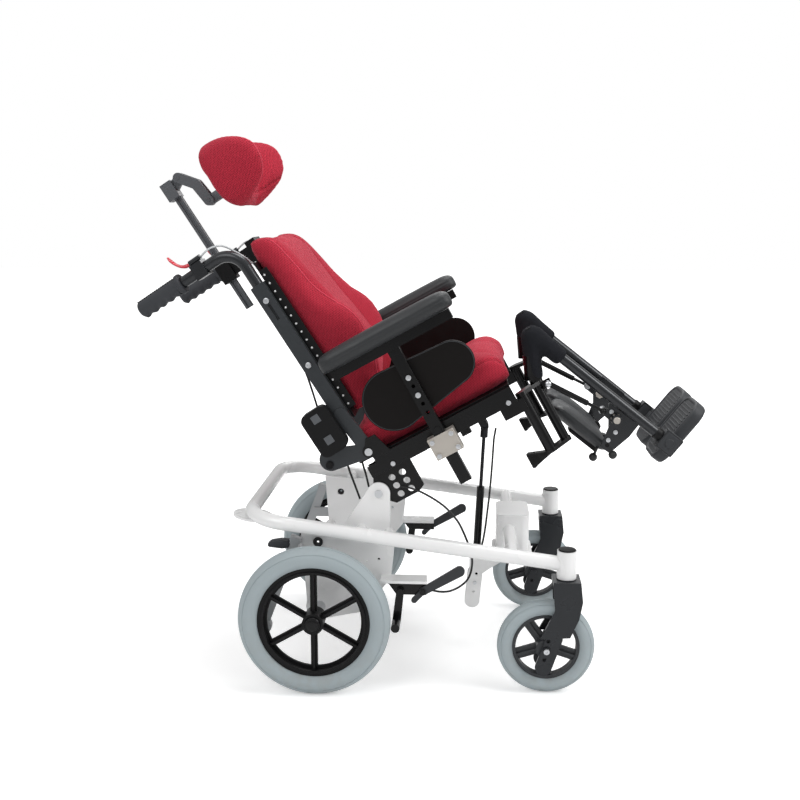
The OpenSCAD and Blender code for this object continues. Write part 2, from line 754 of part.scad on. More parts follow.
module seat_side() {
  inner = rail_y - rail_w / 2;
  difference() {
    box_tube([rail_rear, inner, rail_low], [rail_front, inner + rail_w, rail_low + rail_h], rail_wall);
    box([rail_rear - cut, inner - cut, rail_low + rail_h - notch_h],
      [rail_rear + notch_len, inner + rail_w + cut, rail_low + rail_h + cut]);
  }
  plate(bracket_in, bracket_t) seat_bracket_2d();
  box([rail_rear + notch_len, bracket_in, rail_low - cut],
    [bracket_front, bracket_in + bracket_t, rail_low + rail_wall]);
  // Ear of the recline pivot
  plate(ear_plate_y, ear_plate_t) difference() {
    union() {
      translate([recline_s, recline_h]) circle(r = ear_lobe_r);
      polygon([[rail_rear + notch_len, rail_low + rail_h - cut],
        [2 * recline_s + ear_lobe_r, rail_low + rail_h - cut],
        [2 * recline_s, recline_h + 2 * ear_lobe_r],
        [recline_s + ear_lobe_r / 2, recline_h + 2 * ear_lobe_r],
        [recline_s - ear_lobe_r / 2, recline_h + ear_lobe_r / 2]]);
    }
    translate([recline_s, recline_h]) circle(r = recline_pin_r);
  }
  // Socket of the legrest
  difference() {
    union() {
      translate([swing_s, swing_y, 0]) cylinder_between(-socket_low, hanger_top, socket_r);
      box([rail_front - gusset_len, swing_y - socket_r / 2, rail_low - gusset_h],
        [swing_s, rail_y, rail_low + cut]);
    }
    translate([swing_s, swing_y, 0])
      cylinder_between(-socket_low - cut, hanger_top + cut, swing_pin_r + fit);
  }
}
module seat_frame() {
  inner = rail_y - rail_w / 2;
  bar_low = rail_low + rail_wall;
  color(black) at_seat() {
    both() seat_side();
    for (s = [rear_bar_s, spring_s - bar_side / 2, front_bar_s - bar_side])
      box([s, -inner - cut, bar_low], [s + bar_side, inner + cut, bar_low + bar_side]);
    difference() {
      across([0, -bracket_in - cut, 0], hub_tube_r, 2 * (bracket_in + cut));
      across([0, -bracket_in - bracket_t, 0], tilt_pin_r + fit, 2 * (bracket_in + bracket_t));
    }
    for (s = [-1, 1]) plate(s > 0 ? spring_top_y : -spring_top_y - ear_t, ear_t) difference() {
      link_2d([spring_s, spring_h], bolt_head_r + cut, [spring_s, bar_low + bolt_head_r], bolt_head_r + cut);
      translate([spring_s, spring_h]) circle(r = spring_pin_r);
    }
  }
}
module seat_pan() {
  color(grey) at_seat() box([pan_rear, -pan_half_w, rail_low + rail_h + seat_gap],
    [rail_front, pan_half_w, rail_low + rail_h + seat_gap + pan_t]);
}
pan_rear = -4;
// Seat cushion: loops from the rear to the front, each with a rounded section
cushion_loop = 28;
// Along the cushion, height of the top: shares of the length and of the rise to the front swell
cushion_top_shares = [[0, 0.35], [0.015, 0.72], [0.05, 0.92], [0.12, 1], [0.3, 1.02], [0.5, 1.02],
  [0.66, 1.08], [0.78, 1.2], [0.87, 1.29], [0.93, 1.3], [0.97, 1.2], [0.99, 1], [1, 0.6]];
// Powers that square the section across and in height, and shares of its lower half and narrowed ends
cushion_power_shares = [0.3, 0.45];
cushion_low_share = 0.42;
cushion_end_share = 0.94;
swell_share = 0.3;
thigh_dip = 9;
function cushion_rise(t) = t > 1
  ? mix(cushion_rear_h, cushion_front_h, (t - 1) / swell_share)
  : t * cushion_rear_h;
module seat_cushion() {
  bottom = rail_low + rail_h + 2 * seat_gap + pan_t;
  len = cushion_front - pan_rear;
  color(red) at_seat() skin([for (p = cushion_top_shares)
    let (top = cushion_rise(p[1]), end = min(p[0], 1 - p[0]),
      w = cushion_half_w * mix(cushion_end_share, 1, smooth(end / 0.1)))
    [for (j = [0:cushion_loop - 1])
      let (a = 360 * j / cushion_loop, c = bulge(cos(a), cushion_power_shares[0]),
        u = bulge(sin(a), cushion_power_shares[1]),
        dip = u > 0 ? thigh_dip * smooth(end / 0.2) * (1 - cos(360 * abs(c))) / 2 : 0)
      [pan_rear + len * p[0], w * c,
        bottom + (u > 0 ? top * mix(cushion_low_share, 1, u) - dip : top * cushion_low_share * (1 + u))]]]);
}
// Receivers that hold the arm posts
receiver_len = 59;
receiver_h = 47;
receiver_low = 11;
receiver_out = 243;
post_gap = 0.3;
module arm_receivers() {
  half = receiver_len / 2;
  inner = rail_y + rail_w / 2;
  color(silver) at_seat() both() {
    difference() {
      box([arm_s - half, inner, receiver_low], [arm_s + half, receiver_out, receiver_low + receiver_h]);
      box([arm_s - arm_post_w / 2 - post_gap, arm_post_y - arm_post_t / 2 - post_gap, receiver_low - cut],
        [arm_s + arm_post_w / 2 + post_gap, arm_post_y + arm_post_t / 2 + post_gap,
          receiver_low + receiver_h + cut]);
    }
    for (sx = [-1, 1], sz = [-1, 1])
      across([arm_s + sx * (half - bolt_head_r), receiver_out - cut,
        receiver_low + receiver_h / 2 + sz * (receiver_h / 2 - bolt_head_r)], small_bolt_r, small_bolt_t);
  }
}
small_bolt_r = 5;
small_bolt_t = 4;
module seat_fasteners() {
  color(silver) at_seat() both() {
    // Recline pivot pins
    across([recline_s, back_plate_y - small_bolt_r, recline_h], recline_pin_r,
      ear_plate_y + ear_plate_t - back_plate_y + small_bolt_r);
    across([recline_s, ear_plate_y + ear_plate_t, recline_h], bolt_head_r, bolt_head_t);
    // Rail bolts
    for (s = [rear_bar_s, front_bar_s + bar_side / 3])
      across([s, rail_y + rail_w / 2, rail_low + rail_wall + small_bolt_r], small_bolt_r, small_bolt_t);
  }
}

// Back: posts with their pivot plates
back_plate_y = 200;
back_plate_t = 6;
back_boss_r = 15;
lobe_p = -77;
lobe_q = 26;
lobe_r = 24;
post_wall = 3;
slot_w = 6;
slot_len = 36;
slot_q = 325;
post_bolt_q = 370;
handle_low = 215;
module back_posts() {
  post_foot = [-post_back, post_low + back_boss_r];
  color(black) at_back() both() {
    difference() {
      box([-post_back - post_side / 2, post_y - post_side / 2, post_low],
        [-post_back + post_side / 2, post_y + post_side / 2, post_top]);
      translate([-post_back, post_y, handle_low - post_wall]) cylinder(h = post_top, r = handle_r + fit);
      box([-post_back - slot_w / 2, post_y + handle_r, slot_q],
        [-post_back + slot_w / 2, post_y + post_side, slot_q + slot_len]);
    }
    plate(back_plate_y, back_plate_t) difference() {
      union() {
        link_2d([0, 0], back_boss_r, post_foot, back_boss_r);
        link_2d([0, 0], back_boss_r, [lobe_p, lobe_q], lobe_r);
        link_2d(post_foot, back_boss_r, [lobe_p, lobe_q], lobe_r);
      }
      circle(r = recline_pin_r + fit);
    }
    across([-post_back, post_y + post_side / 2 - cut, post_bolt_q], small_bolt_r, small_bolt_t);
  }
}
// Covers of the recline joint, with their blanking squares and lobe bolts
cover_rear = 82;
cover_front = 20;
cover_foot = 35;
cover_top = 135;
cover_gap = 0.3;
cover_thick = 25.7;
cover_r = 16;
square_side = 17;
square_q = [66, 116];
module joint_covers() {
  y = back_plate_y + back_plate_t + cover_gap;
  mid = -(cover_rear + cover_front) / 2;
  color(black) at_back() both() {
    translate([mid, 0, (cover_foot + cover_top) / 2]) plate(y, cover_thick)
      rounded_2d(cover_rear - cover_front, cover_top - cover_foot, cover_r);
    for (q = square_q) box([mid - square_side / 2, y + cover_thick - cut, q - square_side / 2],
      [mid + square_side / 2, y + cover_thick + cut, q + square_side / 2]);
    across([lobe_p - bolt_head_r, y, lobe_q - bolt_head_r], bolt_head_r, bolt_head_t);
  }
}
// Back shell: a flat plate with rows of holes beside the posts
shell_gap = 0.3;
hole_pitch = 24;
shell_hole_r = 4;
edge_hole_in = 12;
inner_hole_in = 28;
holder_run = 14;
holder_half_w = 34;
holder_low = 452;
holder_top = 504;
holder_foot = 400;
// Side flanges of the shell
flange_reach = 15;
flange_in = 20;
shell_p = post_side / 2 - post_back + shell_gap;
shell_half_w = post_y - shell_edge_in;
module back_shell() {
  hole_count = floor((shell_top - shell_low) / hole_pitch) - 2;
  color(black) at_back() difference() {
    union() {
      box([shell_p, -shell_half_w, shell_low], [shell_p + shell_t, shell_half_w, shell_top]);
      // Rear stiffener that carries the headrest holder
      box([shell_p - holder_run, -holder_half_w, holder_foot], [shell_p + cut, holder_half_w, holder_top]);
      for (s = [-1, 1]) translate([0, s * (shell_half_w - shell_t / 2), 0])
        box([shell_p, -shell_t / 2, shell_low + flange_in],
          [shell_p + shell_t + flange_reach, shell_t / 2, shell_top - flange_in]);
    }
    for (k = [0:hole_count], s = [-1, 1]) {
      shell_hole(s * (shell_half_w - edge_hole_in), (k + 1) * hole_pitch);
      shell_hole(s * (shell_half_w - inner_hole_in), (k + 1) * hole_pitch + hole_pitch / 2);
    }
  }
}
module shell_hole(y, up) {
  along([shell_p - cut, y, shell_low + up], shell_hole_r, shell_t + 2 * cut);
}
// Back cushion: loops from the bottom up, whose front points carry the wings
wing_loop = 20;
// Shares of the height, half width, depth in the middle and reach of the wings, from the bottom up
back_shares = [[0, 0.9, 0.3, 0.3], [0.02, 0.97, 0.72, 0.66], [0.07, 1, 0.94, 0.9], [0.18, 1, 1.1, 0.98],
  [0.32, 1, 1.16, 1], [0.48, 1, 1.06, 0.98], [0.62, 1, 0.96, 0.86], [0.74, 0.99, 0.9, 0.74],
  [0.85, 0.97, 0.88, 0.64], [0.93, 0.94, 0.84, 0.56], [0.98, 0.9, 0.62, 0.42], [1, 0.84, 0.2, 0.14]];
wing_edge_share = 0.52;
wing_full_share = 0.88;
side_depth_share = 0.12;
// Powers that square the section across and in depth, and the share of the flat rear face
wing_power_shares = [0.6, 0.28];
rear_face_share = 0.97;
// One loop of a winged cushion at height q, as points [p, y, q]
function wing_ring(rear, q, w, depth, wing, edge_share, n) = concat(
  [for (j = [0:n])
    let (a = 180 * j / n, y = -w * bulge(cos(a), wing_power_shares[0]),
      side = smooth((abs(y) / w - edge_share) / (wing_full_share - edge_share)),
      d = mix(depth, max(depth, wing), side))
    [rear + d * (j == 0 || j == n ? side_depth_share : pow(sin(a), wing_power_shares[1])), y, q]],
  [for (j = [1:n / 2 - 1]) [rear, w * rear_face_share * cos(360 * j / n), q]]);
module winged_cushion(rear, low, high, half_w, depth, wing, shares, edge_share) {
  skin([for (s = shares) wing_ring(rear, mix(low, high, s[0]), half_w * s[1], depth * s[2],
    wing * s[3], edge_share, wing_loop)]);
}
module back_cushion() {
  rear = shell_p + shell_t + seat_gap;
  color(red) at_back() winged_cushion(rear, shell_low, back_cushion_top, back_cushion_half_w,
    back_cushion_depth, back_wing - rear, back_shares, wing_edge_share);
}
// Holder of the headrest stem
holder_wall = 8;
module headrest_holder() {
  half = stem_side / 2 + gap;
  wall = half + holder_wall;
  back_face = shell_p - holder_run - seat_gap;
  color(black) at_back() difference() {
    union() {
      box([-stem_back - wall, -wall, holder_low], [-stem_back + wall, wall, holder_top]);
      box([-stem_back + half, -holder_wall, holder_low + holder_wall],
        [back_face, holder_wall, holder_top - holder_wall]);
      box([back_face - holder_wall, -holder_half_w, holder_low], [back_face, holder_half_w, holder_top]);
    }
    box([-stem_back - half, -half, holder_low - cut], [-stem_back + half, half, holder_top + cut]);
  }
}
// Push handles, with the housings of their release levers
module at_handle_bend() {
  at_back() translate([-post_back, post_y, handle_q - handle_bend]) rotate([0, 0, handle_toe]) children();
}
housing_run = 84;
housing_half = 14;
housing_half_w = 15;
housing_up = 18;
housing_down = 15.5;
barrel_up = 23;
barrel_r = 6.5;
handle_run = handle_reach - post_back - handle_bend;
module push_handles() {
  stand = handle_q - handle_bend - handle_low;
  color(grey) both() at_handle_bend() {
    cylinder_between(-stand, 0, handle_r);
    translate([-handle_bend, 0, 0]) rotate([90, 0, 0])
      rotate_extrude(angle = 90) translate([handle_bend, 0]) circle(r = handle_r);
    along([-handle_bend - handle_run, 0, handle_bend], handle_r, handle_run);
    box([-housing_run - housing_half, -housing_half_w, handle_bend - housing_down],
      [-housing_run + housing_half, housing_half_w, handle_bend + housing_up]);
    along([-housing_run - housing_half, 0, handle_bend + barrel_up], barrel_r, 2 * housing_half);
  }
}
grip_rings = 4;
grip_end_t = 2.5;
grip_flange_t = 8;
grip_flange_r = 21.5;
ring_drop = 2.5;
ring_w = 8;
module push_grips() {
  color(grey) both() at_handle_bend()
    translate([-handle_bend - handle_run - grip_end_t, 0, handle_bend]) difference() {
    union() {
      along([0, 0, 0], grip_r, grip_len);
      along([grip_len - grip_flange_t, 0, 0], grip_flange_r, grip_flange_t);
      for (k = [1:grip_rings])
        along([k * grip_len / (grip_rings + 1) - ring_w / 2, 0, -ring_drop], grip_r, ring_w);
    }
    along([grip_end_t, 0, 0], handle_r, grip_len);
  }
}
// Release levers: tilt on the right, recline on the left
lever_r = 3.5;
lever_root = 24;
lever_reach = 44;
lever_root_rise = 8;
lever_rise = 26;
lever_knob_r = 5;
lever_root_half = 6;
lever_swell = 0.8;
module release_lever() {
  bend = [-lever_root, lever_root_rise];
  tip = [-lever_reach, lever_rise];
  color([0.86, 0.24, 0.28]) at_handle_bend()
    translate([-housing_run - housing_half - lever_knob_r - seat_gap, 0, handle_bend + barrel_up]) {
      across([0, -lever_root_half, 0], lever_knob_r, 2 * lever_root_half);
      plate(-lever_r, 2 * lever_r) link_2d([0, 0], lever_r, bend, lever_r + lever_swell);
      plate(lever_step - lever_r, 2 * (lever_r - lever_step)) link_2d(bend, lever_r, tip, lever_knob_r);
    }
}
// Headrest: stem with its clamp, cranked arm and pad
clamp_side = 36;
clamp_h = 40;
lug_half = 7;
lug_r = 11;
lug_pin_r = 4;
cheek_t = 7;
// Joints of the headrest arm in front of and above the clamp
arm_top = [26, 14];
arm_elbow = [51, -18];
arm_low = [56, -62];
groove_r = 2.8;
module headrest_stem() {
  groove_h = clamp_q - stem_low - clamp_h / 2;
  color(grey) at_back() {
    difference() {
      union() {
        box([-stem_back - stem_side / 2, -stem_side / 2, stem_low],
          [-stem_back + stem_side / 2, stem_side / 2, clamp_q]);
        box([-stem_back - clamp_side / 2, -clamp_side / 2, clamp_q - clamp_h / 2],
          [-stem_back + clamp_side / 2 - clamp_side / 4, clamp_side / 2, clamp_q + clamp_h / 2]);
      }
      for (a = [0:90:270]) translate([-stem_back, 0, stem_low - cut]) rotate([0, 0, a])
        translate([stem_side / 2, 0, 0]) cylinder(h = groove_h, r = groove_r);
    }
    translate([-stem_back, 0, clamp_q]) {
      plate(-lug_half, 2 * lug_half) link_2d([0, 0], lug_r, arm_top, lug_r);
      across([arm_top[0], -lug_half - cheek_t - cut, arm_top[1]], lug_pin_r, 2 * (lug_half + cheek_t + cut));
    }
  }
}
module headrest_arm() {
  in_y = lug_half + seat_gap;
  color(grey) at_back() translate([-stem_back, 0, clamp_q]) {
    for (s = [-1, 1]) plate(s > 0 ? in_y : -in_y - cheek_t, cheek_t) difference() {
      union() {
        link_2d(arm_top, lug_r, arm_elbow, lug_r);
        link_2d(arm_elbow, lug_r, arm_low, lug_r);
      }
      for (p = [arm_top, arm_low]) translate(p) circle(r = lug_pin_r + fit);
    }
    plate(-in_y - cut, 2 * (in_y + cut)) translate(arm_elbow) circle(r = lug_r - cut);
  }
}
headrest_rear = 14;
// Shares of the height, half width, depth in the middle and reach of the wings, from the bottom up
headrest_shares = [[0, 0.42, 0.26, 0.25], [0.04, 0.62, 0.62, 0.48], [0.12, 0.78, 0.86, 0.68],
  [0.28, 0.94, 1, 0.9], [0.48, 1, 1, 1], [0.66, 1, 0.98, 0.98], [0.82, 0.95, 0.94, 0.86],
  [0.93, 0.84, 0.78, 0.66],
  [0.98, 0.68, 0.5, 0.42], [1, 0.5, 0.2, 0.16]];
headrest_depth = 46;
headrest_edge_share = 0.3;
headrest_drop = 117;
boss_half = 18;
boss_t = 12;
module headrest_pad() {
  low = clamp_q - headrest_drop;
  joint = [arm_low[0] - stem_back, arm_low[1] + clamp_q];
  color(red) at_back() {
    winged_cushion(headrest_rear, low, low + headrest_h, headrest_half_w, headrest_depth,
      headrest_wing - headrest_rear, headrest_shares, headrest_edge_share);
    plate(-lug_half, 2 * lug_half) link_2d(joint, lug_r, [headrest_rear, joint[1]], lug_r);
    across([joint[0], -lug_half - cheek_t - cut, joint[1]], lug_pin_r, 2 * (lug_half + cheek_t + cut));
    box([headrest_rear - boss_t, -boss_half, joint[1] - boss_half],
      [headrest_rear + cut, boss_half, joint[1] + boss_half]);
  }
}
// Armrests
arm_rail_w = 22;
arm_rail_h = 20;
arm_rail_end = 15;
arm_rail_in = 7;
arm_hole_pitch = 20;
arm_hole_r = 4;
arm_post_hole = 68;
free_holes = [2, 3, 5];
bolt_holes = [4, 6];
module arm_post() {
  post_in = arm_post_y - arm_post_t / 2;
  color(black) at_seat() difference() {
    union() {
      box([arm_s - arm_post_w / 2, post_in, -arm_post_low],
        [arm_s + arm_post_w / 2, post_in + arm_post_t, arm_rail_top - arm_rail_h + cut]);
      box([arm_pad_rear + arm_rail_end, arm_pad_y - arm_rail_w / 2 - arm_rail_in, arm_rail_top - arm_rail_h],
        [arm_pad_rear + arm_pad_len - arm_rail_end, arm_pad_y + arm_rail_w / 2 - arm_rail_in, arm_rail_top]);
      across([arm_s, post_in + arm_post_t - cut, receiver_low + receiver_h + bolt_head_r + post_gap],
        bolt_head_r, bolt_head_t);
    }
    for (k = concat(free_holes, bolt_holes))
      across([arm_s, post_in - cut, arm_post_hole + k * arm_hole_pitch], arm_hole_r, arm_post_t + 2 * cut);
  }
}
// Shares of the length, half width and height, from the rear end to the front
arm_pad_shares = [[0, 0.42, 0.5], [0.012, 0.66, 0.74], [0.04, 0.88, 0.92], [0.09, 1, 1], [0.3, 0.98, 0.98],
  [0.7, 0.98, 0.98], [0.91, 1, 1], [0.96, 0.88, 0.92], [0.988, 0.66, 0.74], [1, 0.42, 0.5]];
arm_pad_loop = 20;
arm_pad_edge_share = 0.4;
arm_pad_power_shares = [0.6, 0.7];
module arm_pad() {
  edge = arm_pad_h * arm_pad_edge_share;
  color(grey) at_seat() translate([arm_pad_rear, arm_pad_y, arm_rail_top + seat_gap])
    skin([for (p = arm_pad_shares) [for (j = [0:arm_pad_loop - 1])
      let (a = 360 * j / arm_pad_loop, c = bulge(cos(a), arm_pad_power_shares[0]),
        u = bulge(sin(a), arm_pad_power_shares[1]))
      [arm_pad_len * p[0], arm_pad_w / 2 * p[1] * c,
        u > 0 ? mix(edge, mix(edge, arm_pad_h, p[2]), u) : edge * (1 + u)]]]);
}
// Side guard: two lobes, with the bolts that hold it on the post
guard_s = 125;
guard_h = 160;
guard_r = 64;
guard_front_s = 266;
guard_front_h = 170;
guard_front_r = 46;
module side_guard() {
  y = arm_post_y - arm_post_t / 2 - seat_gap - guard_t;
  color(black) at_seat() {
    plate(y, guard_t) link_2d([guard_s, guard_h], guard_r, [guard_front_s, guard_front_h], guard_front_r);
    for (k = bolt_holes) {
      across([arm_s, y + guard_t / 2, arm_post_hole + k * arm_hole_pitch], arm_hole_r - fit,
        arm_post_t + guard_t / 2 + post_gap + seat_gap + cut);
      across([arm_s, y + guard_t + arm_post_t + post_gap + seat_gap, arm_post_hole + k * arm_hole_pitch],
        arm_bolt_r, small_bolt_t);
    }
  }
}
arm_bolt_r = 6;
// Gas spring between the front cross cover and the seat frame
spring_r = 8.5;
spring_rod_r = 4;
spring_body_len = 222;
spring_eye_r = 9;
spring_collar_h = 18;
spring_rod_low = 60;
spring_head_half = 7;
// Upper eye of the spring, from the rear axle
spring_top = [tilt_x + spring_s * cos(tilt_deg) - spring_h * sin(tilt_deg),
  tilt_z + spring_s * sin(tilt_deg) + spring_h * cos(tilt_deg)];
spring_run = spring_top - [spring_x, spring_low_z];
spring_len = norm(spring_run);
module at_spring() {
  at_axle() translate([spring_x, 0, spring_low_z])
    rotate([0, 90 - atan2(spring_run[1], spring_run[0]), 0]) children();
}
module gas_cylinder() {
  half = spring_ear_y - seat_gap;
  color(black) at_spring() difference() {
    union() {
      across([0, -half, 0], spring_eye_r, 2 * half);
      cylinder_between(spring_eye_r / 2, spring_body_len, spring_r);
    }
    across([0, -half - cut, 0], spring_pin_r + fit, 2 * (half + cut));
    cylinder_between(spring_eye_r * 2, spring_body_len + cut, spring_rod_r + fit);
  }
}
module gas_rod() {
  half = spring_top_y - seat_gap;
  color(silver) at_spring() {
    cylinder_between(spring_body_len - spring_rod_low, spring_len, spring_rod_r);
    cylinder_between(spring_len - spring_eye_r - spring_collar_h, spring_len - spring_eye_r / 2, spring_r);
    across([0, -half, spring_len], spring_pin_r, 2 * half);
    across([0, -spring_head_half, spring_len], spring_eye_r, 2 * spring_head_half);
  }
}
// Legrests: swing-away hanger
hanger_plate_t = 8;
hanger_top = 40;
tube_b_s = 391;
tube_b_r = 10;
foam_low = 54;
knee_tube_r = 11;
foam_clear = 46;
elbow_clear = 29.5;
knuckle_r = 11;
knuckle_half = 6;
ear_half = 12;
knee_pin_r = 5;
latch_len = 46;
latch_drop = 12;
latch_half = 9;
strut_half = 6.5;
strut_top_s = 413;
strut_top_h = 33;
strut_pin_r = 4;
link_r = 12;
module hanger_link(h) {
  translate([0, 0, h]) linear_extrude(height = hanger_plate_t)
    link_2d([swing_s, swing_y], link_r, [tube_b_s, leg_y], link_r);
}
module leg_hanger() {
  knee = [knee_s, leg_y, knee_h];
  foot = [tube_b_s, leg_y, foam_low];
  dir = (knee - foot) / norm(knee - foot);
  top_h = hanger_top + seat_gap;
  low_h = -socket_low - seat_gap - hanger_plate_t;
  color(black) at_seat() {
    // Swing-away pin between its two links, and the tube beside it
    translate([swing_s, swing_y, 0]) cylinder_between(low_h, top_h + hanger_plate_t, swing_pin_r);
    hanger_link(top_h);
    hanger_link(low_h);
    translate([tube_b_s, leg_y, 0]) cylinder_between(low_h, foam_low, tube_b_r);
    // Padded tube up to the knee
    rod(foot, knee - dir * foam_clear, foam_r);
    rod(foot, knee - dir * elbow_clear, knee_tube_r);
    // Ear of the strut
    box([tube_b_s, leg_y - strut_half - ear_t, strut_top_h - bolt_head_r],
      [strut_top_s + bolt_head_r, leg_y - strut_half, strut_top_h + bolt_head_r]);
    across([strut_top_s, leg_y - strut_half - ear_t, strut_top_h], strut_pin_r, 2 * strut_half + ear_t);
    // Ears and pin of the knee
    for (s = [-1, 1])
      plate(leg_y + (s > 0 ? knuckle_half + seat_gap : -ear_half), ear_half - knuckle_half - seat_gap)
        link_2d([knee_s, knee_h], knuckle_r,
          [knee_s - dir[0] * foam_clear / 2, knee_h - dir[2] * foam_clear / 2], knuckle_r);
    across([knee_s, leg_y - ear_half, knee_h], knee_pin_r, 2 * ear_half);
    // Swing-away latch
    plate(swing_y - latch_half, 2 * latch_half) polygon([[swing_s, low_h], [swing_s, low_h + hanger_plate_t],
      [swing_s - socket_r - cut, low_h + hanger_plate_t],
      [swing_s - latch_len, low_h + hanger_plate_t + latch_drop],
      [swing_s - latch_len, low_h - latch_drop]]);
  }
}
// Leg tube with its foot block, calf bracket and hand knob
block_low = leg_len - 17;
block_high = leg_len + 23;
block_half = 15;
block_depth = 21;
calf_plate_t = 4;
calf_plate_y = 145;
calf_depth = 84;
calf_pivot = 275;
calf_pin_r = 4;
calf_plate_run = 362;
// Bracket outline: shares of its run below the knee, and of the depth of the calf pads
calf_plate_shares = [[0.61, -0.18], [0.64, 0.08], [0.82, 0.08], [0.825, -0.5], [0.8, -1.12], [0.735, -1.14],
  [0.7, -0.65]];
knob_p = 253;
knob_q = 30;
knob_r = 11;
knob_len = 22;
strut_low_p = 219.5;
strut_low_q = 33;
ball_r = 7;
hinge_p = leg_len + 10;
hinge_r = 6;
hinge_pin_r = 2.5;
hinge_half = 14;
hinge_y = leg_y - block_half - hinge_r - seat_gap;
module leg_tube() {
  color(grey) at_knee() {
    difference() {
      union() {
        plate(leg_y - knuckle_half, 2 * knuckle_half)
          link_2d([0, 0], knuckle_r, [elbow_clear, 0], knuckle_r - cut);
        along([elbow_clear, leg_y, 0], leg_r, leg_len - elbow_clear);
        box([block_low, leg_y - block_half, -block_depth], [block_high, leg_y + block_half, block_depth]);
        plate(calf_plate_y, calf_plate_t) {
          polygon([for (p = calf_plate_shares) [p[0] * calf_plate_run, p[1] * calf_depth]]);
          link_2d([strut_low_p, -strut_low_q], ball_r, [knob_p, -knob_q], knob_r);
        }
        box([knob_p - knob_r, calf_plate_y, -leg_r / 2], [calf_pivot + knob_r, leg_y, leg_r / 2]);
        across([knob_p, calf_plate_y, -knob_q], knob_r, knob_len);
        // Seat of the strut's ball
        across([strut_low_p, calf_plate_y, -strut_low_q], strut_pin_r,
          leg_y - ball_r - seat_gap - calf_plate_y);
      }
      across([0, 0, 0], knee_pin_r + fit, 2 * leg_y);
      across([calf_pivot, 0, -calf_depth], calf_pin_r + fit, 2 * leg_y);
    }
    // Hinge ears and pin of the footplate
    for (s = [-1, 1]) translate([hinge_p, hinge_y, 0]) {
      z = hinge_half + seat_gap;
      difference() {
        union() {
          cylinder_between(s > 0 ? z : -block_depth, s > 0 ? block_depth : -z, hinge_r);
          box([-hinge_r, 0, s > 0 ? z : -block_depth], [hinge_r, hinge_r + cut, s > 0 ? block_depth : -z]);
        }
      }
    }
    translate([hinge_p, hinge_y, 0]) cylinder_between(-block_depth, block_depth, hinge_pin_r);
  }
}
foam_start = 44;
foam_end = 84;
module knee_foam() {
  color(grey) at_knee() difference() {
    along([foam_start, leg_y, 0], foam_r, foam_end - foam_start);
    along([foam_start - cut, leg_y, 0], leg_r, foam_end - foam_start + 2 * cut);
  }
}
// Calf pad: loops along the leg, each a rounded bar hollowed towards the calf
calf_start = 142;
calf_out_y = 136;
// Shares of the length, half width and half thickness
calf_shares = [[0, 0.6, 0.4], [0.03, 0.82, 0.74], [0.1, 0.95, 0.94], [0.3, 1, 1], [0.7, 1, 1],
  [0.9, 0.95, 0.94], [0.97, 0.82, 0.74], [1, 0.6, 0.4]];
calf_loop = 20;
calf_dip = 10;
calf_power_shares = [0.7, 0.8];
carrier_t = 12;
module calf_pad() {
  mid_y = calf_out_y - calf_w / 2;
  rear_q = -calf_depth - calf_t / 2 - calf_dip;
  color(grey) at_knee() {
    skin([for (c = calf_shares) [for (j = [0:calf_loop - 1])
      let (a = 360 * j / calf_loop, y = calf_w / 2 * c[1] * bulge(cos(a), calf_power_shares[0]),
        z = calf_t / 2 * c[2] * bulge(sin(a), calf_power_shares[1]),
        sag = calf_dip * (1 - pow(2 * y / calf_w, 2)))
      [calf_start + calf_len * c[0], mid_y + y, z - calf_depth - sag]]]);
    box([calf_start + calf_len / 2, mid_y - boss_half, rear_q - carrier_t / 2],
      [calf_pivot + calf_pin_r, mid_y + boss_half, rear_q + carrier_t / 2]);
    across([calf_pivot, mid_y, -calf_depth], calf_pin_r, calf_plate_y + calf_plate_t + cut - mid_y);
  }
}
// Footplate with its hinge barrel and tread ribs
foot_round = 22;
foot_heel = 50;
foot_face = 3;
foot_edge = 6;
tread_ribs = 9;
rib_h = 2;
rib_in = 12;
module footplate() {
  out_y = hinge_y - foot_edge;
  color(grey) at_knee() {
    difference() {
      union() {
        translate([hinge_p - foot_face, out_y - foot_w / 2, foot_len / 2 - foot_heel]) rotate([0, 90, 0])
          linear_extrude(height = foot_t) rounded_2d(foot_len, foot_w, foot_round);
        translate([hinge_p, hinge_y, 0]) cylinder_between(-hinge_half, hinge_half, hinge_r);
        box([hinge_p, out_y - cut, -hinge_half], [hinge_p + hinge_r, hinge_y, hinge_half]);
      }
      translate([hinge_p, hinge_y, 0]) cylinder_between(-block_depth, block_depth, hinge_pin_r + fit);
    }
    for (k = [1:tread_ribs]) let (q = k * foot_len / (tread_ribs + 1) - foot_heel)
      box([hinge_p - foot_face - rib_h, out_y - foot_w + rib_in, q - rib_h / 2],
        [hinge_p, out_y - rib_in, q + rib_h / 2]);
  }
}
// Struts that hold the leg tubes up
strut_r = 6;
strut_rod_r = 3.5;
strut_tube_len = 92;
strut_rod_start = 20;
function turn_down(p, a) = [p[0] * cos(a) + p[1] * sin(a), p[1] * cos(a) - p[0] * sin(a)];
strut_low = [knee_s, knee_h] + turn_down([strut_low_p, -strut_low_q], leg_drop);
strut_run = strut_low - [strut_top_s, strut_top_h];
strut_len = norm(strut_run);
module at_strut() {
  at_seat() translate([strut_top_s, leg_y, strut_top_h])
    rotate([0, 90 - atan2(strut_run[1], strut_run[0]), 0]) children();
}
module strut_tube() {
  half = strut_half - seat_gap;
  color(black) at_strut() difference() {
    union() {
      across([0, -half, 0], strut_r, 2 * half);
      cylinder_between(strut_r / 2, strut_tube_len, strut_r);
    }
    across([0, -half - cut, 0], strut_pin_r + fit, 2 * (half + cut));
    cylinder_between(strut_r * 2, strut_tube_len + cut, strut_rod_r + fit);
  }
}
module strut_rod() {
  color(silver) at_strut() {
    cylinder_between(strut_rod_start, strut_len, strut_rod_r);
    translate([0, 0, strut_len]) sphere(r = ball_r);
  }
}

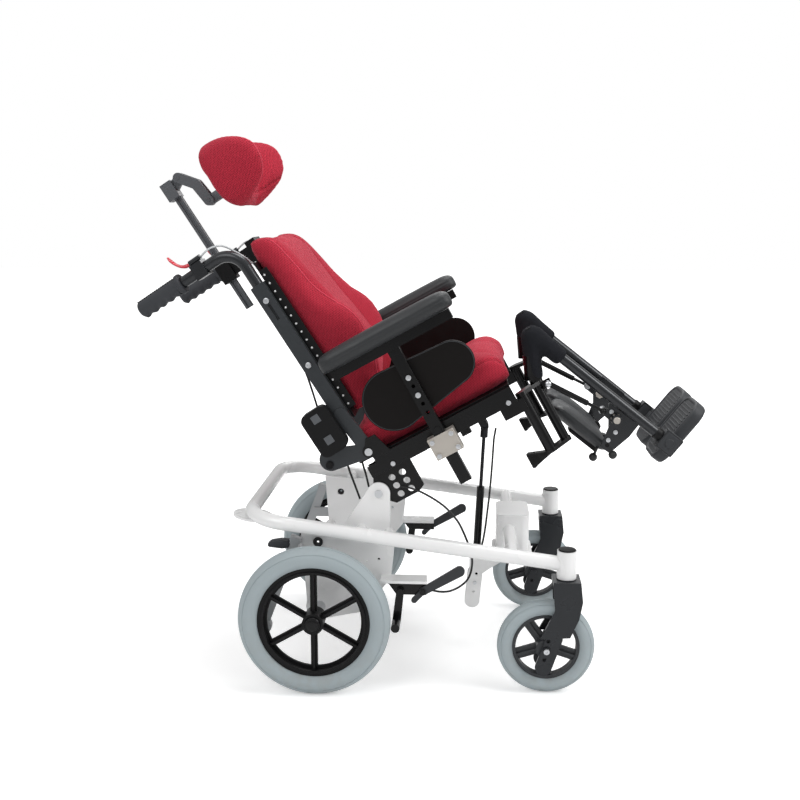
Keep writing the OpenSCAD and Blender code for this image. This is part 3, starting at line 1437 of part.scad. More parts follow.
right() base_side();  // base_side_right
base_side();  // base_side_left
rear_loop();
front_cross();
base_pins();
tip_bars();
lock_clamps();
right() rear_tyre();  // rear_tyre_right
rear_tyre();  // rear_tyre_left
right() rear_rim();  // rear_rim_right
rear_rim();  // rear_rim_left
right() caster_fork();  // caster_fork_right
caster_fork();  // caster_fork_left
right() caster_tyre();  // caster_tyre_right
caster_tyre();  // caster_tyre_left
right() caster_rim();  // caster_rim_right
caster_rim();  // caster_rim_left
right() lock_lever();  // lock_lever_right
lock_lever();  // lock_lever_left
right() lock_shoe();  // lock_shoe_right
lock_shoe();  // lock_shoe_left
seat_frame();
seat_pan();
seat_cushion();
arm_receivers();
seat_fasteners();
back_posts();
joint_covers();
back_shell();
back_cushion();
headrest_holder();
push_handles();
push_grips();
right() release_lever();  // tilt_lever
release_lever();  // recline_lever
headrest_stem();
headrest_arm();
headrest_pad();
right() arm_post();  // arm_post_right
arm_post();  // arm_post_left
right() arm_pad();  // arm_pad_right
arm_pad();  // arm_pad_left
right() side_guard();  // side_guard_right
side_guard();  // side_guard_left
gas_cylinder();
gas_rod();
right() leg_hanger();  // leg_hanger_right
leg_hanger();  // leg_hanger_left
right() leg_tube();  // leg_tube_right
leg_tube();  // leg_tube_left
right() knee_foam();  // knee_foam_right
knee_foam();  // knee_foam_left
right() calf_pad();  // calf_pad_right
calf_pad();  // calf_pad_left
right() footplate();  // footplate_right
footplate();  // footplate_left
right() strut_tube();  // strut_tube_right
strut_tube();  // strut_tube_left
right() strut_rod();  // strut_rod_right
strut_rod();  // strut_rod_left
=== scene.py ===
"""A tilt in space wheelchair, fully tilted back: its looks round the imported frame.

Lengths in the tables are millimetres, in the frames that the part's source uses.
"""

import math

import bmesh
import bpy
import numpy as np
from mathutils import Matrix, Vector
from mathutils.bvhtree import BVHTree
from mathutils.kdtree import KDTree


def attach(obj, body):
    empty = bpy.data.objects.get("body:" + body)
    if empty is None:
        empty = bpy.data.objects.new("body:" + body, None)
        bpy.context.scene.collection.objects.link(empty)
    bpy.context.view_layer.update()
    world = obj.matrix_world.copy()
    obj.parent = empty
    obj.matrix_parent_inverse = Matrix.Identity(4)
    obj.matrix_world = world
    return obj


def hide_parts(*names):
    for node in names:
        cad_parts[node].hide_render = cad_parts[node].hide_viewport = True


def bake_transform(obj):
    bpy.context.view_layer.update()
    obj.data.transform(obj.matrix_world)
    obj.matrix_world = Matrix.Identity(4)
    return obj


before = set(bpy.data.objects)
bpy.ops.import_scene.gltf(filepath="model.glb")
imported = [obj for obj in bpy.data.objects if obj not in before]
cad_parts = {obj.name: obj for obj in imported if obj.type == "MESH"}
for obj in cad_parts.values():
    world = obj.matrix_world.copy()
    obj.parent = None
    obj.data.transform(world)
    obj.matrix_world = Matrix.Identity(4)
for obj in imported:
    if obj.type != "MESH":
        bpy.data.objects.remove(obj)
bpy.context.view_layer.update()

MM = 0.001
SIDES = {"left": 1, "right": -1}

OUT = Vector((0, 1, 0))

# Places on the chair: the base from below its rear axle, the seat rails from the tilt pivot, the back posts from
# the recline pivot, and the legrests from the knee. Hubs are given as x and z
AXLE_BACK = 213.75
TILT_PIVOT = (127, 0, 406)
RECLINE_PIVOT = (27.7, 0, 89.5)
KNEE_PIVOT = (430, 0, 143)
REAR_HUB = (0, 157.5)
CASTER_HUB = (475, 100)
TILT_DEG = 29
LEAN_DEG = 3.7
DROP_DEG = 67


def turn_y(degrees):
    return Matrix.Rotation(math.radians(degrees), 4, "Y")


def moved(x, y, z):
    return Matrix.Translation((x * MM, y * MM, z * MM))


BASE = moved(-AXLE_BACK, 0, 0)
SEAT = BASE @ moved(*TILT_PIVOT) @ turn_y(-TILT_DEG)
BACK = SEAT @ moved(*RECLINE_PIVOT) @ turn_y(-LEAN_DEG)
KNEE = SEAT @ moved(*KNEE_PIVOT) @ turn_y(DROP_DEG)


def place(where, x, y, z):
    """A point of one of the frames above, given in millimetres."""
    return where @ Vector((x * MM, y * MM, z * MM))


def new_object(name, data):
    made = bpy.data.objects.new(name, data)
    bpy.context.scene.collection.objects.link(made)
    return made


# Camera, lamps and floor

CAMERA_AT = (0.10073, -2.3847, 1.00017)
CAMERA_DOWN_DEG = 10.261
CAMERA_LEFT_DEG = 3.751
LENS_MM = 49.14
SENSOR_MM = 36

# Name, place, height of its aim, size and watts
LAMPS = [
    ("key_lamp", (-1.6, -2.6, 2.7), 0.5, 2.2, 33),
    ("side_lamp", (2.7, -0.9, 2.2), 0.5, 1.6, 40),
    ("back_lamp", (0.3, 2.6, 2.6), 0.6, 2.0, 24),
    ("top_lamp", (0.3, 0.1, 3.3), 0.4, 1.6, 44),
]
SKY_ON_OBJECT = 0.42
SKY_IN_GLOSS = (0.12, 0.8)
FLOOR_GLOW = (0.36, 1.0)
FLOOR_FADE = (0.9, 2.6)
FLOOR_HALF = 14.0


def set_camera():
    lens = bpy.data.cameras.new("photo_lens")
    lens.lens = LENS_MM
    lens.sensor_width = SENSOR_MM
    camera = new_object("photo_camera", lens)
    camera.location = CAMERA_AT
    camera.rotation_euler = (math.radians(90 - CAMERA_DOWN_DEG), 0, math.radians(CAMERA_LEFT_DEG))
    bpy.context.scene.camera = camera


def add_lamp(name, at, aim_height, size, watts):
    light = bpy.data.lights.new(name, "AREA")
    light.shape = "DISK"
    light.size = size
    light.energy = watts
    lamp = new_object(name, light)
    lamp.location = at
    lamp.rotation_euler = (Vector((0, 0, aim_height)) - Vector(at)).to_track_quat("-Z", "Y").to_euler()


def put(tree, kind, joins=None, **settings):
    """Adds a node, with its settings and the values or sockets of its inputs."""
    node = tree.nodes.new(kind)
    for key, value in settings.items():
        setattr(node, key, value)
    for key, value in (joins or {}).items():
        socket = node.inputs[key]
        if isinstance(value, bpy.types.NodeSocket):
            tree.links.new(value, socket)
        else:
            socket.default_value = value
    return node


def math_node(tree, operation, a, b=0.0, clamp=False):
    return put(tree, "ShaderNodeMath", {0: a, 1: b}, operation=operation, use_clamp=clamp).outputs[0]


def times(tree, a, b, clamp=False):
    return math_node(tree, "MULTIPLY", a, b, clamp)


def ranged(tree, value, low, high, to_low=0.0, to_high=1.0):
    """A value that runs from low to high, mapped and held between two others."""
    return put(tree, "ShaderNodeMapRange", {"Value": value, "From Min": low, "From Max": high, "To Min": to_low,
                                            "To Max": to_high}).outputs[0]


def noise(tree, scale, detail, at=None):
    joins = {"Scale": scale, "Detail": detail}
    if at is not None:
        joins["Vector"] = at
    return put(tree, "ShaderNodeTexNoise", joins).outputs[0]


def coordinates(tree, kind):
    return put(tree, "ShaderNodeTexCoord").outputs[kind]


def split(tree, vector):
    return put(tree, "ShaderNodeSeparateXYZ", {0: vector}).outputs


def length_of(tree, vector):
    return put(tree, "ShaderNodeVectorMath", {0: vector}, operation="LENGTH").outputs["Value"]


def close_material(tree, surface, kind="Material"):
    put(tree, f"ShaderNodeOutput{kind}", {"Surface": surface})


def blank_material(name):
    material = bpy.data.materials.new(name)
    material.use_nodes = True
    material.node_tree.nodes.clear()
    return material, material.node_tree


def shade(red, green, blue, factor=1.0):
    """The linear colour of three screen values from 0 to 255, made darker or lighter by a factor."""
    linear = []
    for value in (red, green, blue):
        value /= 255
        value = value / 12.92 if value <= 0.04045 else ((value + 0.055) / 1.055) ** 2.4
        linear.append(min(value * factor, 1.0))
    return (*linear, 1.0)


def set_room():
    """A pale floor that keeps the object's shadow, under a plain pale sky."""
    world = bpy.data.worlds.new("room")
    bpy.context.scene.world = world
    bpy.context.scene.view_settings.view_transform = "Standard"
    world.use_nodes = True
    tree = world.node_tree
    tree.nodes.clear()
    path = put(tree, "ShaderNodeLightPath").outputs
    seen = math_node(tree, "MAXIMUM", path["Is Camera Ray"], path["Is Transmission Ray"])
    above = ranged(tree, split(tree, coordinates(tree, "Generated"))["Z"], 0.1, 0.6, *SKY_IN_GLOSS)
    seen = math_node(tree, "MAXIMUM", seen, times(tree, path["Is Glossy Ray"], above))
    strength = ranged(tree, seen, 0.0, 1.0, SKY_ON_OBJECT, 1.0)
    sky = put(tree, "ShaderNodeBackground", {"Color": (1, 1, 1, 1), "Strength": strength})
    close_material(tree, sky.outputs[0], "World")

    material, tree = blank_material("floor_paint")
    tone = ranged(tree, noise(tree, 40.0, 2.0), 0.0, 1.0, 0.93, 0.95)
    surface = put(tree, "ShaderNodeBsdfPrincipled", {"Base Color": tone, "Roughness": 0.9, "Specular IOR Level": 0.1})
    level = ranged(tree, length_of(tree, coordinates(tree, "Object")), *FLOOR_FADE, *FLOOR_GLOW)
    glow = put(tree, "ShaderNodeEmission", {"Color": (1, 1, 1, 1), "Strength": level})
    both = put(tree, "ShaderNodeAddShader", {0: surface.outputs[0], 1: glow.outputs[0]})
    seen = put(tree, "ShaderNodeMixShader", {0: put(tree, "ShaderNodeLightPath").outputs["Is Camera Ray"],
                                             1: surface.outputs[0], 2: both.outputs[0]})
    close_material(tree, seen.outputs[0])
    mesh = bpy.data.meshes.new("floor")
    mesh.from_pydata([(x * FLOOR_HALF, y * FLOOR_HALF, 0) for x, y in ((-1, -1), (1, -1), (1, 1), (-1, 1))], [],
                     [(0, 1, 2, 3)])
    mesh.materials.append(material)
    new_object("floor", mesh)


# Effects that several finishes share


def new_group(name, inputs, outputs):
    """A shader node group with named inputs and outputs."""
    tree = bpy.data.node_groups.new(name, "ShaderNodeTree")
    for label, value in inputs.items():
        kind = "NodeSocketColor" if isinstance(value, tuple) else "NodeSocketFloat"
        socket = tree.interface.new_socket(label, in_out="INPUT", socket_type=kind)
        socket.default_value = value
    for label, kind in outputs.items():
        tree.interface.new_socket(label, in_out="OUTPUT", socket_type=kind)
    return tree, tree.nodes.new("NodeGroupInput").outputs, tree.nodes.new("NodeGroupOutput").inputs


def edge_group():
    """Rounds the sharp edges of moulded and bent parts, and finds where they wear."""
    tree, given, made = new_group(
        "edge_wear",
        {"Radius": 0.001, "Amount": 0.3},
        {"Normal": "NodeSocketVector", "Wear": "NodeSocketFloat"},
    )
    rounded = put(tree, "ShaderNodeBevel", {"Radius": given["Radius"]}, samples=4).outputs[0]
    flat = put(tree, "ShaderNodeNewGeometry").outputs["Normal"]
    match = put(tree, "ShaderNodeVectorMath", {0: rounded, 1: flat}, operation="DOT_PRODUCT").outputs["Value"]
    turned_away = ranged(tree, match, 0.99, 0.86)
    rubbed = ranged(tree, noise(tree, 60.0, 5.0, coordinates(tree, "Object")), 0.5, 0.68)
    spots = times(tree, turned_away, rubbed)
    tree.links.new(times(tree, spots, given["Amount"], clamp=True), made["Wear"])
    tree.links.new(rounded, made["Normal"])
    return tree


def grain_group():
    """Fine moulded grain or paint texture, and a slow change of tone."""
    tree, given, made = new_group(
        "surface_grain",
        {"Grains": 900.0, "Patches": 14.0},
        {"Height": "NodeSocketFloat", "Tone": "NodeSocketFloat"},
    )
    at = coordinates(tree, "Object")
    tree.links.new(noise(tree, given["Grains"], 2.0, at), made["Height"])
    tree.links.new(noise(tree, given["Patches"], 4.0, at), made["Tone"])
    return tree


def dust_group():
    """Road dust: on what faces up and on what is near the floor."""
    tree, given, made = new_group("road_dust", {"Amount": 0.3, "Reach": 0.3}, {"Mask": "NodeSocketFloat"})
    at = coordinates(tree, "Object")
    low = ranged(tree, split(tree, at)["Z"], given["Reach"], 0.0)
    upward = split(tree, put(tree, "ShaderNodeNewGeometry").outputs["Normal"])["Z"]
    top = ranged(tree, upward, 0.2, 1.0, 0.0, 0.5)
    spotted = ranged(tree, noise(tree, 55.0, 6.0, at), 0.4, 0.7)
    mask = times(tree, math_node(tree, "ADD", low, top), spotted)
    tree.links.new(times(tree, mask, given["Amount"], clamp=True), made["Mask"])
    return tree


def weave_group():
    """Spacer mesh: staggered rows of small oval holes, laid out on the piece's own map."""
    tree, given, made = new_group(
        "spacer_mesh",
        {"Pitch": 0.0032, "Row": 0.0026, "Open": 0.3},
        {"Height": "NodeSocketFloat", "Hole": "NodeSocketFloat"},
    )
    flat = split(tree, coordinates(tree, "UV"))
    column = math_node(tree, "DIVIDE", flat["X"], given["Pitch"])
    row = math_node(tree, "DIVIDE", flat["Y"], given["Row"])
    shift = times(tree, math_node(tree, "FLOORED_MODULO", math_node(tree, "FLOOR", row), 2.0), 0.5)
    across = math_node(tree, "SUBTRACT", math_node(tree, "FRACT", math_node(tree, "ADD", column, shift)), 0.5)
    along = math_node(tree, "SUBTRACT", math_node(tree, "FRACT", row), 0.5)
    spot = put(tree, "ShaderNodeCombineXYZ", {0: across, 1: times(tree, along, 0.8)})
    rim = math_node(tree, "ADD", given["Open"], 0.14)
    hole = put(tree, "ShaderNodeMapRange", {"Value": length_of(tree, spot.outputs[0]), "From Min": rim,
                                            "From Max": given["Open"]}, interpolation_type="SMOOTHSTEP").outputs[0]
    tree.links.new(hole, made["Hole"])
    tree.links.new(math_node(tree, "SUBTRACT", 1.0, hole), made["Height"])
    return tree


def rings_group():
    """Fine turned or moulded rings round an axle, at a radius in the piece's own place."""
    tree, given, made = new_group(
        "moulded_rings",
        {"Centre X": 0.0, "Centre Z": 0.0, "Pitch": 0.004},
        {"Height": "NodeSocketFloat"},
    )
    flat = split(tree, coordinates(tree, "Object"))
    x = math_node(tree, "SUBTRACT", flat["X"], given["Centre X"])
    z = math_node(tree, "SUBTRACT", flat["Z"], given["Centre Z"])
    square = math_node(tree, "ADD", times(tree, x, x), times(tree, z, z))
    turns = math_node(tree, "DIVIDE", math_node(tree, "SQRT", square), given["Pitch"])
    tree.links.new(math_node(tree, "SINE", times(tree, turns, math.tau)), made["Height"])
    return tree


EDGE = edge_group()
GRAIN = grain_group()
DUST = dust_group()
WEAVE = weave_group()
RINGS = rings_group()


def place_group(tree, group, values):
    node = put(tree, "ShaderNodeGroup", node_tree=group)
    for label, value in values.items():
        node.inputs[label].default_value = value
    return node.outputs


def blend_colour(tree, share, first, second):
    return put(tree, "ShaderNodeMix", {0: share, 6: first, 7: second}, data_type="RGBA").outputs[2]


def bump_of(tree, height, depth, **joins):
    return put(tree, "ShaderNodeBump", {"Height": height, "Strength": 1.0, "Distance": depth, **joins}).outputs[0]


TYRE_COLOUR = (166, 177, 181)
DUST_COLOUR = (176, 170, 160)
FLOOR_DIRT = (150, 146, 138)
SHEEN_TINT = (240, 150, 165)


def hard_finish(name, colour, rough, metal=0.0, coat=0.0, edge=0.001, wear=0.0, bare=(150, 152, 155),
                grains=900.0, depth=0.00004, patches=14.0, mottle=0.12, dust=0.0, spec=0.5):
    """Paint, moulded plastic, rubber or bare metal, with its grain, its worn edges and its dust."""
    material, tree = blank_material(name)
    grain = place_group(tree, GRAIN, {"Grains": grains, "Patches": patches})
    edges = place_group(tree, EDGE, {"Radius": edge, "Amount": wear})
    tone = blend_colour(tree, times(tree, grain["Tone"], mottle * 2), shade(*colour), shade(*colour, 0.72))
    tone = blend_colour(tree, edges["Wear"], tone, shade(*bare))
    if dust:
        film = place_group(tree, DUST, {"Amount": dust})
        tone = blend_colour(tree, film["Mask"], tone, shade(*DUST_COLOUR))
    dull = ranged(tree, grain["Tone"], 0.3, 0.7, max(rough - 0.07, 0.03), min(rough + 0.09, 1.0))
    bump = bump_of(tree, grain["Height"], depth, Normal=edges["Normal"])
    surface = put(tree, "ShaderNodeBsdfPrincipled", {
        "Base Color": tone, "Roughness": dull, "Normal": bump,
        "Metallic": metal, "Coat Weight": coat, "Coat Roughness": 0.08, "Specular IOR Level": spec})
    close_material(tree, surface.outputs[0])
    return material


def cloth_finish(name, thread, shadow, pitch=0.0034, row=0.0028, depth=0.0007):
    """Upholstery mesh: bright threads round holes darkened with painted shade, with sheen and a slow change of tone.
    """
    material, tree = blank_material(name)
    weave = place_group(tree, WEAVE, {"Pitch": pitch, "Row": row, "Open": 0.22})
    grain = place_group(tree, GRAIN, {"Grains": 1500.0, "Patches": 9.0})
    tone = blend_colour(tree, times(tree, grain["Tone"], 0.3), shade(*thread), shade(*thread, 0.7))
    flecks = ranged(tree, grain["Height"], 0.45, 0.75, 0.0, 0.35)
    tone = blend_colour(tree, flecks, tone, shade(*thread, 1.5))
    # Painted shade: the recessed holes are darkened towards the shadow colour.
    tone = blend_colour(tree, times(tree, weave["Hole"], 0.75), tone, shade(*shadow))
    height = math_node(tree, "ADD", weave["Height"], times(tree, grain["Height"], 0.3))
    surface = put(tree, "ShaderNodeBsdfPrincipled", {
        "Base Color": tone, "Roughness": 0.85, "Normal": bump_of(tree, height, depth), "Sheen Weight": 0.3,
        "Sheen Roughness": 0.4, "Sheen Tint": shade(*SHEEN_TINT), "Specular IOR Level": 0.2})
    close_material(tree, surface.outputs[0])
    return material


def wheel_finish(name, hub, pitch):
    """Grey tyre compound with faint moulded rings round its axle, scuffs and road dust."""
    material, tree = blank_material(name)
    centre = place(BASE, hub[0], 0, hub[1])
    grain = place_group(tree, GRAIN, {"Grains": 700.0, "Patches": 18.0})
    rings = place_group(tree, RINGS, {"Centre X": centre.x, "Centre Z": centre.z, "Pitch": pitch})
    film = place_group(tree, DUST, {"Amount": 0.28, "Reach": 0.2})
    tone = blend_colour(tree, times(tree, grain["Tone"], 0.25), shade(*TYRE_COLOUR), shade(*TYRE_COLOUR, 0.75))
    tone = blend_colour(tree, film["Mask"], tone, shade(*FLOOR_DIRT))
    height = math_node(tree, "ADD", grain["Height"], times(tree, rings["Height"], 0.25))
    surface = put(tree, "ShaderNodeBsdfPrincipled", {
        "Base Color": tone, "Roughness": 0.62, "Normal": bump_of(tree, height, 0.00025), "Specular IOR Level": 0.4})
    close_material(tree, surface.outputs[0])
    return material


# Finish: colour on screen, roughness, and what differs from a plain moulded part
HARD_FINISHES = {
    "white_enamel": ((243, 243, 243), 0.22, dict(coat=0.5, edge=0.0012, wear=0.1, bare=(170, 172, 174),
                     grains=420.0, depth=0.00002, mottle=0.04, dust=0.08)),
    "zinc_plate": ((205, 207, 210), 0.3, dict(metal=1.0, edge=0.0005, grains=1500.0, depth=0.00002, mottle=0.15)),
    "grey_bar": ((176, 178, 180), 0.38, dict(metal=0.35, edge=0.0008, wear=0.1, grains=700.0, mottle=0.1,
                 dust=0.15)),
    "black_enamel": ((11, 11, 12), 0.25, dict(coat=0.12, wear=0.02, bare=(80, 80, 82), grains=600.0,
                     depth=0.00003, mottle=0.1, spec=0.2)),
    "black_plastic": ((15, 15, 16), 0.4, dict(edge=0.0012, wear=0.04, bare=(60, 60, 62), grains=1300.0,
                      depth=0.00006, spec=0.2)),
    "receiver_silver": ((192, 186, 178), 0.36, dict(metal=0.6, wear=0.05, mottle=0.14)),
    "grey_tube": ((38, 40, 43), 0.22, dict(metal=0.45, coat=0.2, edge=0.0008, bare=(110, 112, 115), grains=500.0,
                  depth=0.00002)),
    "arm_grey": ((88, 91, 95), 0.4, dict(metal=0.2, edge=0.0006, grains=700.0)),
    "post_grey": ((54, 57, 60), 0.34, dict(metal=0.2, coat=0.1, wear=0.02, bare=(120, 122, 125), grains=600.0,
                  depth=0.00003, spec=0.3)),
    "fork_grey": ((40, 42, 45), 0.3, dict(metal=0.35, coat=0.15, wear=0.03, bare=(120, 122, 125), spec=0.3)),
    "rim_grey": ((50, 52, 55), 0.4, dict(wear=0.03, bare=(100, 102, 105), grains=1300.0, depth=0.00006, spec=0.35)),
    "grip_rubber": ((58, 60, 64), 0.62, dict(grains=1100.0, depth=0.00012, spec=0.3)),
    "foot_plastic": ((50, 52, 55), 0.52, dict(edge=0.0015, wear=0.06, bare=(100, 102, 105), grains=1200.0,
                     depth=0.0001, spec=0.35)),
    "red_plastic": ((216, 56, 70), 0.32, dict(coat=0.3, edge=0.0008, depth=0.00003)),
    "guard_laminate": ((15, 11, 10), 0.45, dict(wear=0.03, bare=(60, 58, 58), grains=1600.0, depth=0.00008,
                       patches=38.0, mottle=0.5, spec=0.16)),
    "closed_foam": ((33, 34, 38), 0.93, dict(grains=1400.0, depth=0.0005, patches=40.0, mottle=0.25, spec=0.12)),
    "pad_skin": ((42, 44, 46), 0.46, dict(grains=850.0, depth=0.00018, patches=22.0, spec=0.4)),
    "dark_steel": ((40, 41, 44), 0.25, dict(metal=0.8, edge=0.0006, depth=0.00002)),
    "cable_black": ((16, 16, 18), 0.42, dict(edge=0.0003, grains=1500.0, depth=0.00003)),
    "cable_silver": ((205, 208, 210), 0.35, dict(edge=0.0003, grains=1500.0, depth=0.00003)),
    "sewing_thread": ((150, 24, 42), 0.8, dict(edge=0.0002, grains=2500.0, depth=0.00005)),
}

FINISH = {name: hard_finish(name, colour, rough, **more) for name, (colour, rough, more) in HARD_FINISHES.items()}
# The second colour is the painted shade inside the mesh's holes.
FINISH["cloth"] = cloth_finish("red_spacer_mesh", (192, 46, 65), (98, 10, 27))
# The welt is the cushion's red mesh painted lighter: a painted highlight along the ridge seams.
FINISH["welt"] = cloth_finish("red_welt_painted_highlight", (206, 70, 88), (150, 30, 48), pitch=0.0016, row=0.0014, depth=0.0002)
FINISH["rear_tyre"] = wheel_finish("rear_tyre_grey", REAR_HUB, 0.0031)
FINISH["caster_tyre"] = wheel_finish("caster_tyre_grey", CASTER_HUB, 0.0029)

# Which finish each solid of the frame shows; a star stands for right and left
NODE_FINISH = {
    "white_enamel": ["base_side_*", "rear_loop", "front_cross"],
    "zinc_plate": ["base_pins", "seat_fasteners"],
    "grey_bar": ["tip_bars"],
    "black_enamel": ["lock_clamps", "lock_shoe_*", "seat_frame", "arm_post_*", "gas_cylinder", "leg_hanger_*",
                     "strut_tube_*", "strut_rod_*"],
    "black_plastic": ["rear_rim_*", "seat_pan", "joint_covers", "back_shell", "headrest_holder"],
    "receiver_silver": ["arm_receivers"],
    "post_grey": ["back_posts"],
    "fork_grey": ["caster_fork_*"],
    "rim_grey": ["caster_rim_*", "lock_lever_*"],
    "grey_tube": ["push_handles", "leg_tube_*"],
    "arm_grey": ["headrest_stem", "headrest_arm"],
    "red_plastic": ["tilt_lever", "recline_lever"],
    "guard_laminate": ["side_guard_*"],
    "dark_steel": ["gas_rod"],
}


def dress_frame():
    for finish, names in NODE_FINISH.items():
        for name in {row.replace("*", side) for row in names for side in SIDES}:
            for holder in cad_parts[name].material_slots:
                holder.material = FINISH[finish]


# Making pieces


def add_piece(name, mesh, finish, body, replaced=(), crease=38):
    """Puts a finished mesh on its body, with its finish and the solids it stands for."""
    mesh.name = name
    if finish is not None:
        mesh.materials.clear()
        mesh.materials.append(FINISH[finish])
    mesh.polygons.foreach_set("use_smooth", [True] * len(mesh.polygons))
    mesh.set_sharp_from_angle(angle=math.radians(crease))
    piece = new_object(name, mesh)
    if body:
        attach(piece, body)
    if replaced:
        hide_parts(*replaced)
    return piece


def outward(mesh):
    """Merges doubles and turns every face outwards."""
    work = bmesh.new()
    work.from_mesh(mesh)
    bmesh.ops.remove_doubles(work, verts=work.verts, dist=0.001 * MM)
    bmesh.ops.recalc_face_normals(work, faces=work.faces)
    work.to_mesh(mesh)
    work.free()
    return mesh


def loft(loops, ring=False):
    """A closed skin through equal loops of points; ring joins the last loop to the first."""
    count = len(loops[0])
    points = [tuple(point) for loop in loops for point in loop]
    spans = len(loops) if ring else len(loops) - 1
    faces = []
    for i in range(spans):
        low, high = i * count, (i + 1) % len(loops) * count
        for j in range(count):
            k = (j + 1) % count
            faces.append((low + j, low + k, high + k, high + j))
    if not ring:
        faces.append(tuple(range(count)))
        faces.append(tuple(range(len(points) - count, len(points))))
    mesh = bpy.data.meshes.new("loft")
    mesh.from_pydata(points, [], faces)
    return outward(mesh)


def smooth_line(knots, steps):
    """Points of a smooth curve through the knots, evenly spread."""
    knots = [Vector(knot) for knot in knots]
    ends = [knots[0] * 2 - knots[1]] + knots + [knots[-1] * 2 - knots[-2]]
    fine = []
    for a, b, c, d in zip(ends, ends[1:], ends[2:], ends[3:]):
        for i in range(24):
            t = i / 24
            fine.append(0.5 * (2 * b + (c - a) * t + (2 * a - 5 * b + 4 * c - d) * t * t
                               + (3 * b - a - 3 * c + d) * t ** 3))
    fine.append(knots[-1])
    runs = np.cumsum([0] + [(b - a).length for a, b in zip(fine, fine[1:])])
    at = np.linspace(0, runs[-1], steps)
    axes = [np.interp(at, runs, [point[k] for point in fine]) for k in range(3)]
    return [Vector(point) for point in zip(*axes)]


def circle(steps):
    """The angles of a full turn."""
    return [math.tau * i / steps for i in range(steps)]


def tube(line, radii, sides, start_up):
    """A closed round tube along a line; radii is one radius or one for each point."""
    if not hasattr(radii, "__len__"):
        radii = [radii] * len(line)
    up = Vector(start_up)
    loops = []
    for i, point in enumerate(line):
        ahead = (line[min(i + 1, len(line) - 1)] - line[max(i - 1, 0)]).normalized()
        across = ahead.cross(up)
        if across.length < 1e-3:
            across = ahead.cross(OUT)
        across.normalize()
        up = across.cross(ahead).normalized()
        loops.append([point + (across * math.cos(a) + up * math.sin(a)) * radii[i] for a in circle(sides)])
    return loft(loops)


def rod(where, spots, radii, sides, start_up=(0, 1, 0)):
    """A round rod through points in a frame above; radii is one radius or one for each point."""
    radii = [r * MM for r in radii] if hasattr(radii, "__len__") else radii * MM
    return tube([place(where, *spot) for spot in spots], radii, sides, start_up)


def rounded_box(where, low, high, round_mm, segments=3):
    """A box between two corners in a frame above, with rounded edges."""
    work = bmesh.new()
    bmesh.ops.create_cube(work, size=1)
    size = [b - a for a, b in zip(low, high)]
    middle = [(a + b) / 2 for a, b in zip(low, high)]
    for vert in work.verts:
        vert.co = Vector([(middle[k] + vert.co[k] * size[k]) * MM for k in range(3)])
    bmesh.ops.bevel(work, geom=work.edges[:] + work.verts[:], offset=round_mm * MM, segments=segments, affect="EDGES",
                    profile=0.5, clamp_overlap=True)
    mesh = bpy.data.meshes.new("rounded_box")
    work.to_mesh(mesh)
    work.free()
    mesh.transform(where)
    return outward(mesh)


def turned(where, axis_at, profile, steps):
    """A closed solid turned about the Y axis through axis_at; profile is (radius, y) in millimetres."""
    return loft([[place(where, axis_at[0] + r * math.cos(a), y, axis_at[1] + r * math.sin(a)) for r, y in profile]
                 for a in circle(steps)], ring=True)


def joined(meshes):
    """One mesh of several."""
    work = bmesh.new()
    for mesh in meshes:
        work.from_mesh(mesh)
    whole = bpy.data.meshes.new("joined")
    work.to_mesh(whole)
    work.free()
    return whole


# Pieces that repeat: Geometry Nodes trees with named sizes


def new_tree(name, inputs):
    tree = bpy.data.node_groups.new(name, "GeometryNodeTree")
    tree.interface.new_socket("Places", in_out="INPUT", socket_type="NodeSocketGeometry")
    for label, value in inputs.items():
        kind = {float: "NodeSocketFloat", int: "NodeSocketInt"}[type(value)]
        tree.interface.new_socket(label, in_out="INPUT", socket_type=kind).default_value = value
    tree.interface.new_socket("Finish", in_out="INPUT", socket_type="NodeSocketMaterial")
    tree.interface.new_socket("Made", in_out="OUTPUT", socket_type="NodeSocketGeometry")
    return tree, tree.nodes.new("NodeGroupInput").outputs, tree.nodes.new("NodeGroupOutput").inputs


def aim_attribute(tree, label):
    return put(tree, "GeometryNodeInputNamedAttribute", {"Name": label}, data_type="FLOAT_VECTOR").outputs[0]


def turned_to(tree, axis, vector, rotation=None, pivot="AUTO"):
    joins = {"Vector": vector} if rotation is None else {"Vector": vector, "Rotation": rotation}
    return put(tree, "FunctionNodeAlignRotationToVector", joins, axis=axis, pivot_axis=pivot).outputs[0]


def close_tree(tree, given, made, places, shape, rotation):
    rows = put(tree, "GeometryNodeInstanceOnPoints", {"Points": places, "Instance": shape, "Rotation": rotation})
    real = put(tree, "GeometryNodeRealizeInstances", {0: rows.outputs[0]})
    dressed = put(tree, "GeometryNodeSetMaterial", {"Geometry": real.outputs[0], "Material": given["Finish"]})
    tree.links.new(dressed.outputs[0], made["Made"])
    return tree


def screw_tree():
    """Round screw heads with a recess for the key."""
    tree, given, made = new_tree("screw_heads", {"Head Radius": 0.005, "Head Height": 0.004, "Key Share": 0.5,
                                                 "Key Depth": 0.002, "Head Sides": 20})

    def raised(mesh, top, by):
        return put(tree, "GeometryNodeExtrudeMesh", {"Mesh": mesh, "Selection": top, "Offset Scale": by}).outputs

    def narrowed(mesh, top, by):
        return put(tree, "GeometryNodeScaleElements", {"Geometry": mesh, "Selection": top, "Scale": by}).outputs[0]

    head = put(tree, "GeometryNodeMeshCylinder", {"Vertices": given["Head Sides"], "Radius": given["Head Radius"],
                                                  "Depth": given["Head Height"]}).outputs
    crown = raised(head["Mesh"], head["Top"], times(tree, given["Head Height"], 0.12))
    flat = raised(narrowed(crown["Mesh"], crown["Top"], 0.84), crown["Top"], 0.0)
    key = narrowed(flat["Mesh"], flat["Top"], given["Key Share"])
    recess = raised(key, flat["Top"], times(tree, given["Key Depth"], -1.0))
    turn = turned_to(tree, "Z", aim_attribute(tree, "aim"))
    return close_tree(tree, given, made, given["Places"], recess["Mesh"], turn)


